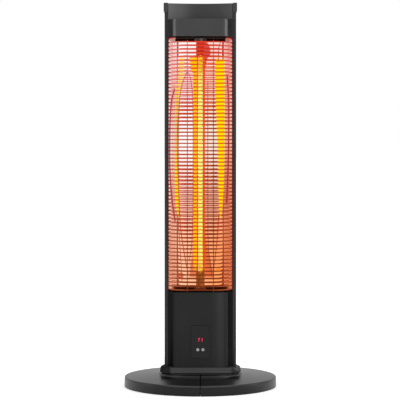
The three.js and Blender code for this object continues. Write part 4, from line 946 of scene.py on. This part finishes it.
def key_material(name, open_ring):
    """A lit round key: a light ring round a dark middle with a dot in it, faint where the ring is open."""
    g = Graph(name + "_light")
    low, high = limits(name)
    across_key = g.math("SUBTRACT", g.x, (low[0] + high[0]) / 2)
    up_key = g.math("SUBTRACT", g.z, (low[2] + high[2]) / 2)
    radius = g.length(across_key, up_key)
    ring = g.math("MULTIPLY", g.ramp(radius, 1.3, 1.8), g.ramp(radius, 3.1, 3.5, 1, 0))
    inner = g.ramp(radius, 0.2, 0.9, 0.25 if open_ring else 0.7, 0.1)
    grain = g.ramp(g.noise(1.0), *FINE_SPAN, 0.9, 1.0)
    level = g.math("MULTIPLY", g.math("MAXIMUM", ring, inner), grain)
    tone = g.mix(level, (0.02, 0.02, 0.02), (0.30, 0.305, 0.31))
    return g.finish(
        g.principled(Base_Color=tone, Roughness=0.4, Emission_Color=tone, Emission_Strength=0.45)
    )


for node in ("power_touch_key", "level_touch_key"):
    repaint(node, key_material(node, node.startswith("power")))


def display_glow():
    g = Graph("digit_glow")
    color = g.mix(g.ramp(g.noise(0.8), *FINE_SPAN), (0.95, 0.03, 0.09), (1.0, 0.05, 0.12))
    return g.finish(g.node("ShaderNodeEmission", Color=color, Strength=1.0))


DIGIT_HEIGHT = 116.5  # of the digits' middle above the floor
DIGIT_SLANT = 0.12
DIGIT_THICKNESS = 0.25
DIGIT_PROUD = 0.02  # how far the digits stand out of the window's face
# A digit's strokes, each from (x, z) to (x, z) about the digit's middle, with a width.
SEVEN = [((-2.2, 3.4), (2.2, 3.4), 1.6), ((1.6, 4.2), (-0.4, -3.8), 1.6)]
ONE = [((0, 4.0), (0, -3.8), 1.8)]


def digit(strokes, x):
    """Slanted bars on the window's face, with the digit's middle at a place x."""
    parts = []
    face = limits("control_window")[0][1] - DIGIT_PROUD
    for start, end, width in strokes:
        a, b = Vector(start), Vector(end)
        half = Vector((a.y - b.y, b.x - a.x)).normalized() * width / 2
        flat = [a + half, b + half, b - half, a - half]
        verts = [
            (x + p.x + DIGIT_SLANT * p.y, y, DIGIT_HEIGHT + p.y)
            for y in (face, face + DIGIT_THICKNESS)
            for p in flat
        ]
        faces = [(0, 1, 2, 3), (7, 6, 5, 4)] + [(i, (i + 1) % 4, 4 + (i + 1) % 4, 4 + i) for i in range(4)]
        parts.append((verts, faces))
    return merged(*parts)


digit_glow = display_glow()
for name, strokes, x in (("digit_seven", SEVEN, -3.6), ("digit_one", ONE, 4.2)):
    verts, faces = digit(strokes, x)
    add_mesh(name, verts, faces, digit_glow, smooth=30)

# ------------------------------------------------------------------ floor, world and light

# Places and sizes here are in metres.
FLOOR_CORNERS = [(-30, -12, 0), (30, -12, 0), (30, 60, 0), (-30, 60, 0)]
LAMP_PLACE = (3.0, -0.35, 1.2)
LAMP_TARGET = (0, 0, 0.6)
LAMP_SIZE = (1.1, 2.4)
LAMP_WATTS = {"key_right": 45, "fill_left": 28}
AMBIENT_STRENGTH = 0.85
BACKGROUND_STRENGTH = 1.0


def floor_material():
    """Pale matt floor that gives off some light of its own, so that it is near white and still takes
    the shadow."""
    g = Graph("pale_floor")
    return g.finish(
        g.principled(
            Base_Color=(0.9, 0.9, 0.9),
            Roughness=g.ramp(g.noise(0.02), *FINE_SPAN, 0.65, 0.7),
            Specular_IOR_Level=0.1,
            Emission_Color=(1.0, 1.0, 1.0),
            Emission_Strength=0.35,
        )
    )


floor_mesh = bpy.data.meshes.new("floor")
floor_mesh.from_pydata(FLOOR_CORNERS, [], [(0, 1, 2, 3)])
floor_mesh.materials.append(floor_material())
floor = bpy.data.objects.new("floor", floor_mesh)
bpy.context.scene.collection.objects.link(floor)
floor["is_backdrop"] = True


def studio_world():
    """White where it is seen, mirrored or looked at through glass, and a little dimmer as light."""
    world = bpy.data.worlds.new("studio")
    world.use_nodes = True
    tree = world.node_tree
    tree.nodes.clear()
    rays = tree.nodes.new("ShaderNodeLightPath")
    seen = rays.outputs["Is Camera Ray"]
    for kind in ("Is Glossy Ray", "Is Transmission Ray"):
        either = tree.nodes.new("ShaderNodeMath")
        either.operation = "MAXIMUM"
        tree.links.new(seen, either.inputs[0])
        tree.links.new(rays.outputs[kind], either.inputs[1])
        seen = either.outputs[0]
    blend = tree.nodes.new("ShaderNodeMixShader")
    tree.links.new(seen, blend.inputs[0])
    for i, strength in ((1, AMBIENT_STRENGTH), (2, BACKGROUND_STRENGTH)):
        white = tree.nodes.new("ShaderNodeBackground")
        white.inputs["Color"].default_value = (1, 1, 1, 1)
        white.inputs["Strength"].default_value = strength
        tree.links.new(white.outputs[0], blend.inputs[i])
    out = tree.nodes.new("ShaderNodeOutputWorld")
    tree.links.new(blend.outputs[0], out.inputs[0])
    return world


bpy.context.scene.world = studio_world()


def softbox(name, side):
    """A tall lamp beside the object, on the right, or on the left for a side of -1."""
    data = bpy.data.lights.new(name, "AREA")
    data.shape = "RECTANGLE"
    data.size, data.size_y = LAMP_SIZE
    data.energy = LAMP_WATTS[name]
    lamp = bpy.data.objects.new(name, data)
    bpy.context.scene.collection.objects.link(lamp)
    x, y, z = LAMP_PLACE
    lamp.location = (side * x, y, z)
    lamp.rotation_euler = (Vector(LAMP_TARGET) - lamp.location).to_track_quat("-Z", "Y").to_euler()


softbox("key_right", 1)
softbox("fill_left", -1)

camera_data = bpy.data.cameras.new("camera")
camera = bpy.data.objects.new("camera", camera_data)
bpy.context.scene.collection.objects.link(camera)
camera.location = (0, -EYE_DISTANCE * MM, EYE_HEIGHT * MM)
camera.rotation_euler = (math.radians(90), 0, 0)
camera_data.sensor_width = 36
camera_data.lens = FOCAL_PIXELS / PHOTO_PIXELS * camera_data.sensor_width
camera_data.shift_x = SHIFT_SIDE_PIXELS / PHOTO_PIXELS
camera_data.shift_y = SHIFT_UP_PIXELS / PHOTO_PIXELS
camera_data.clip_end = 200
bpy.context.scene.camera = camera
bpy.context.scene.view_settings.view_transform = "Standard"

write_box("visual_box_m")
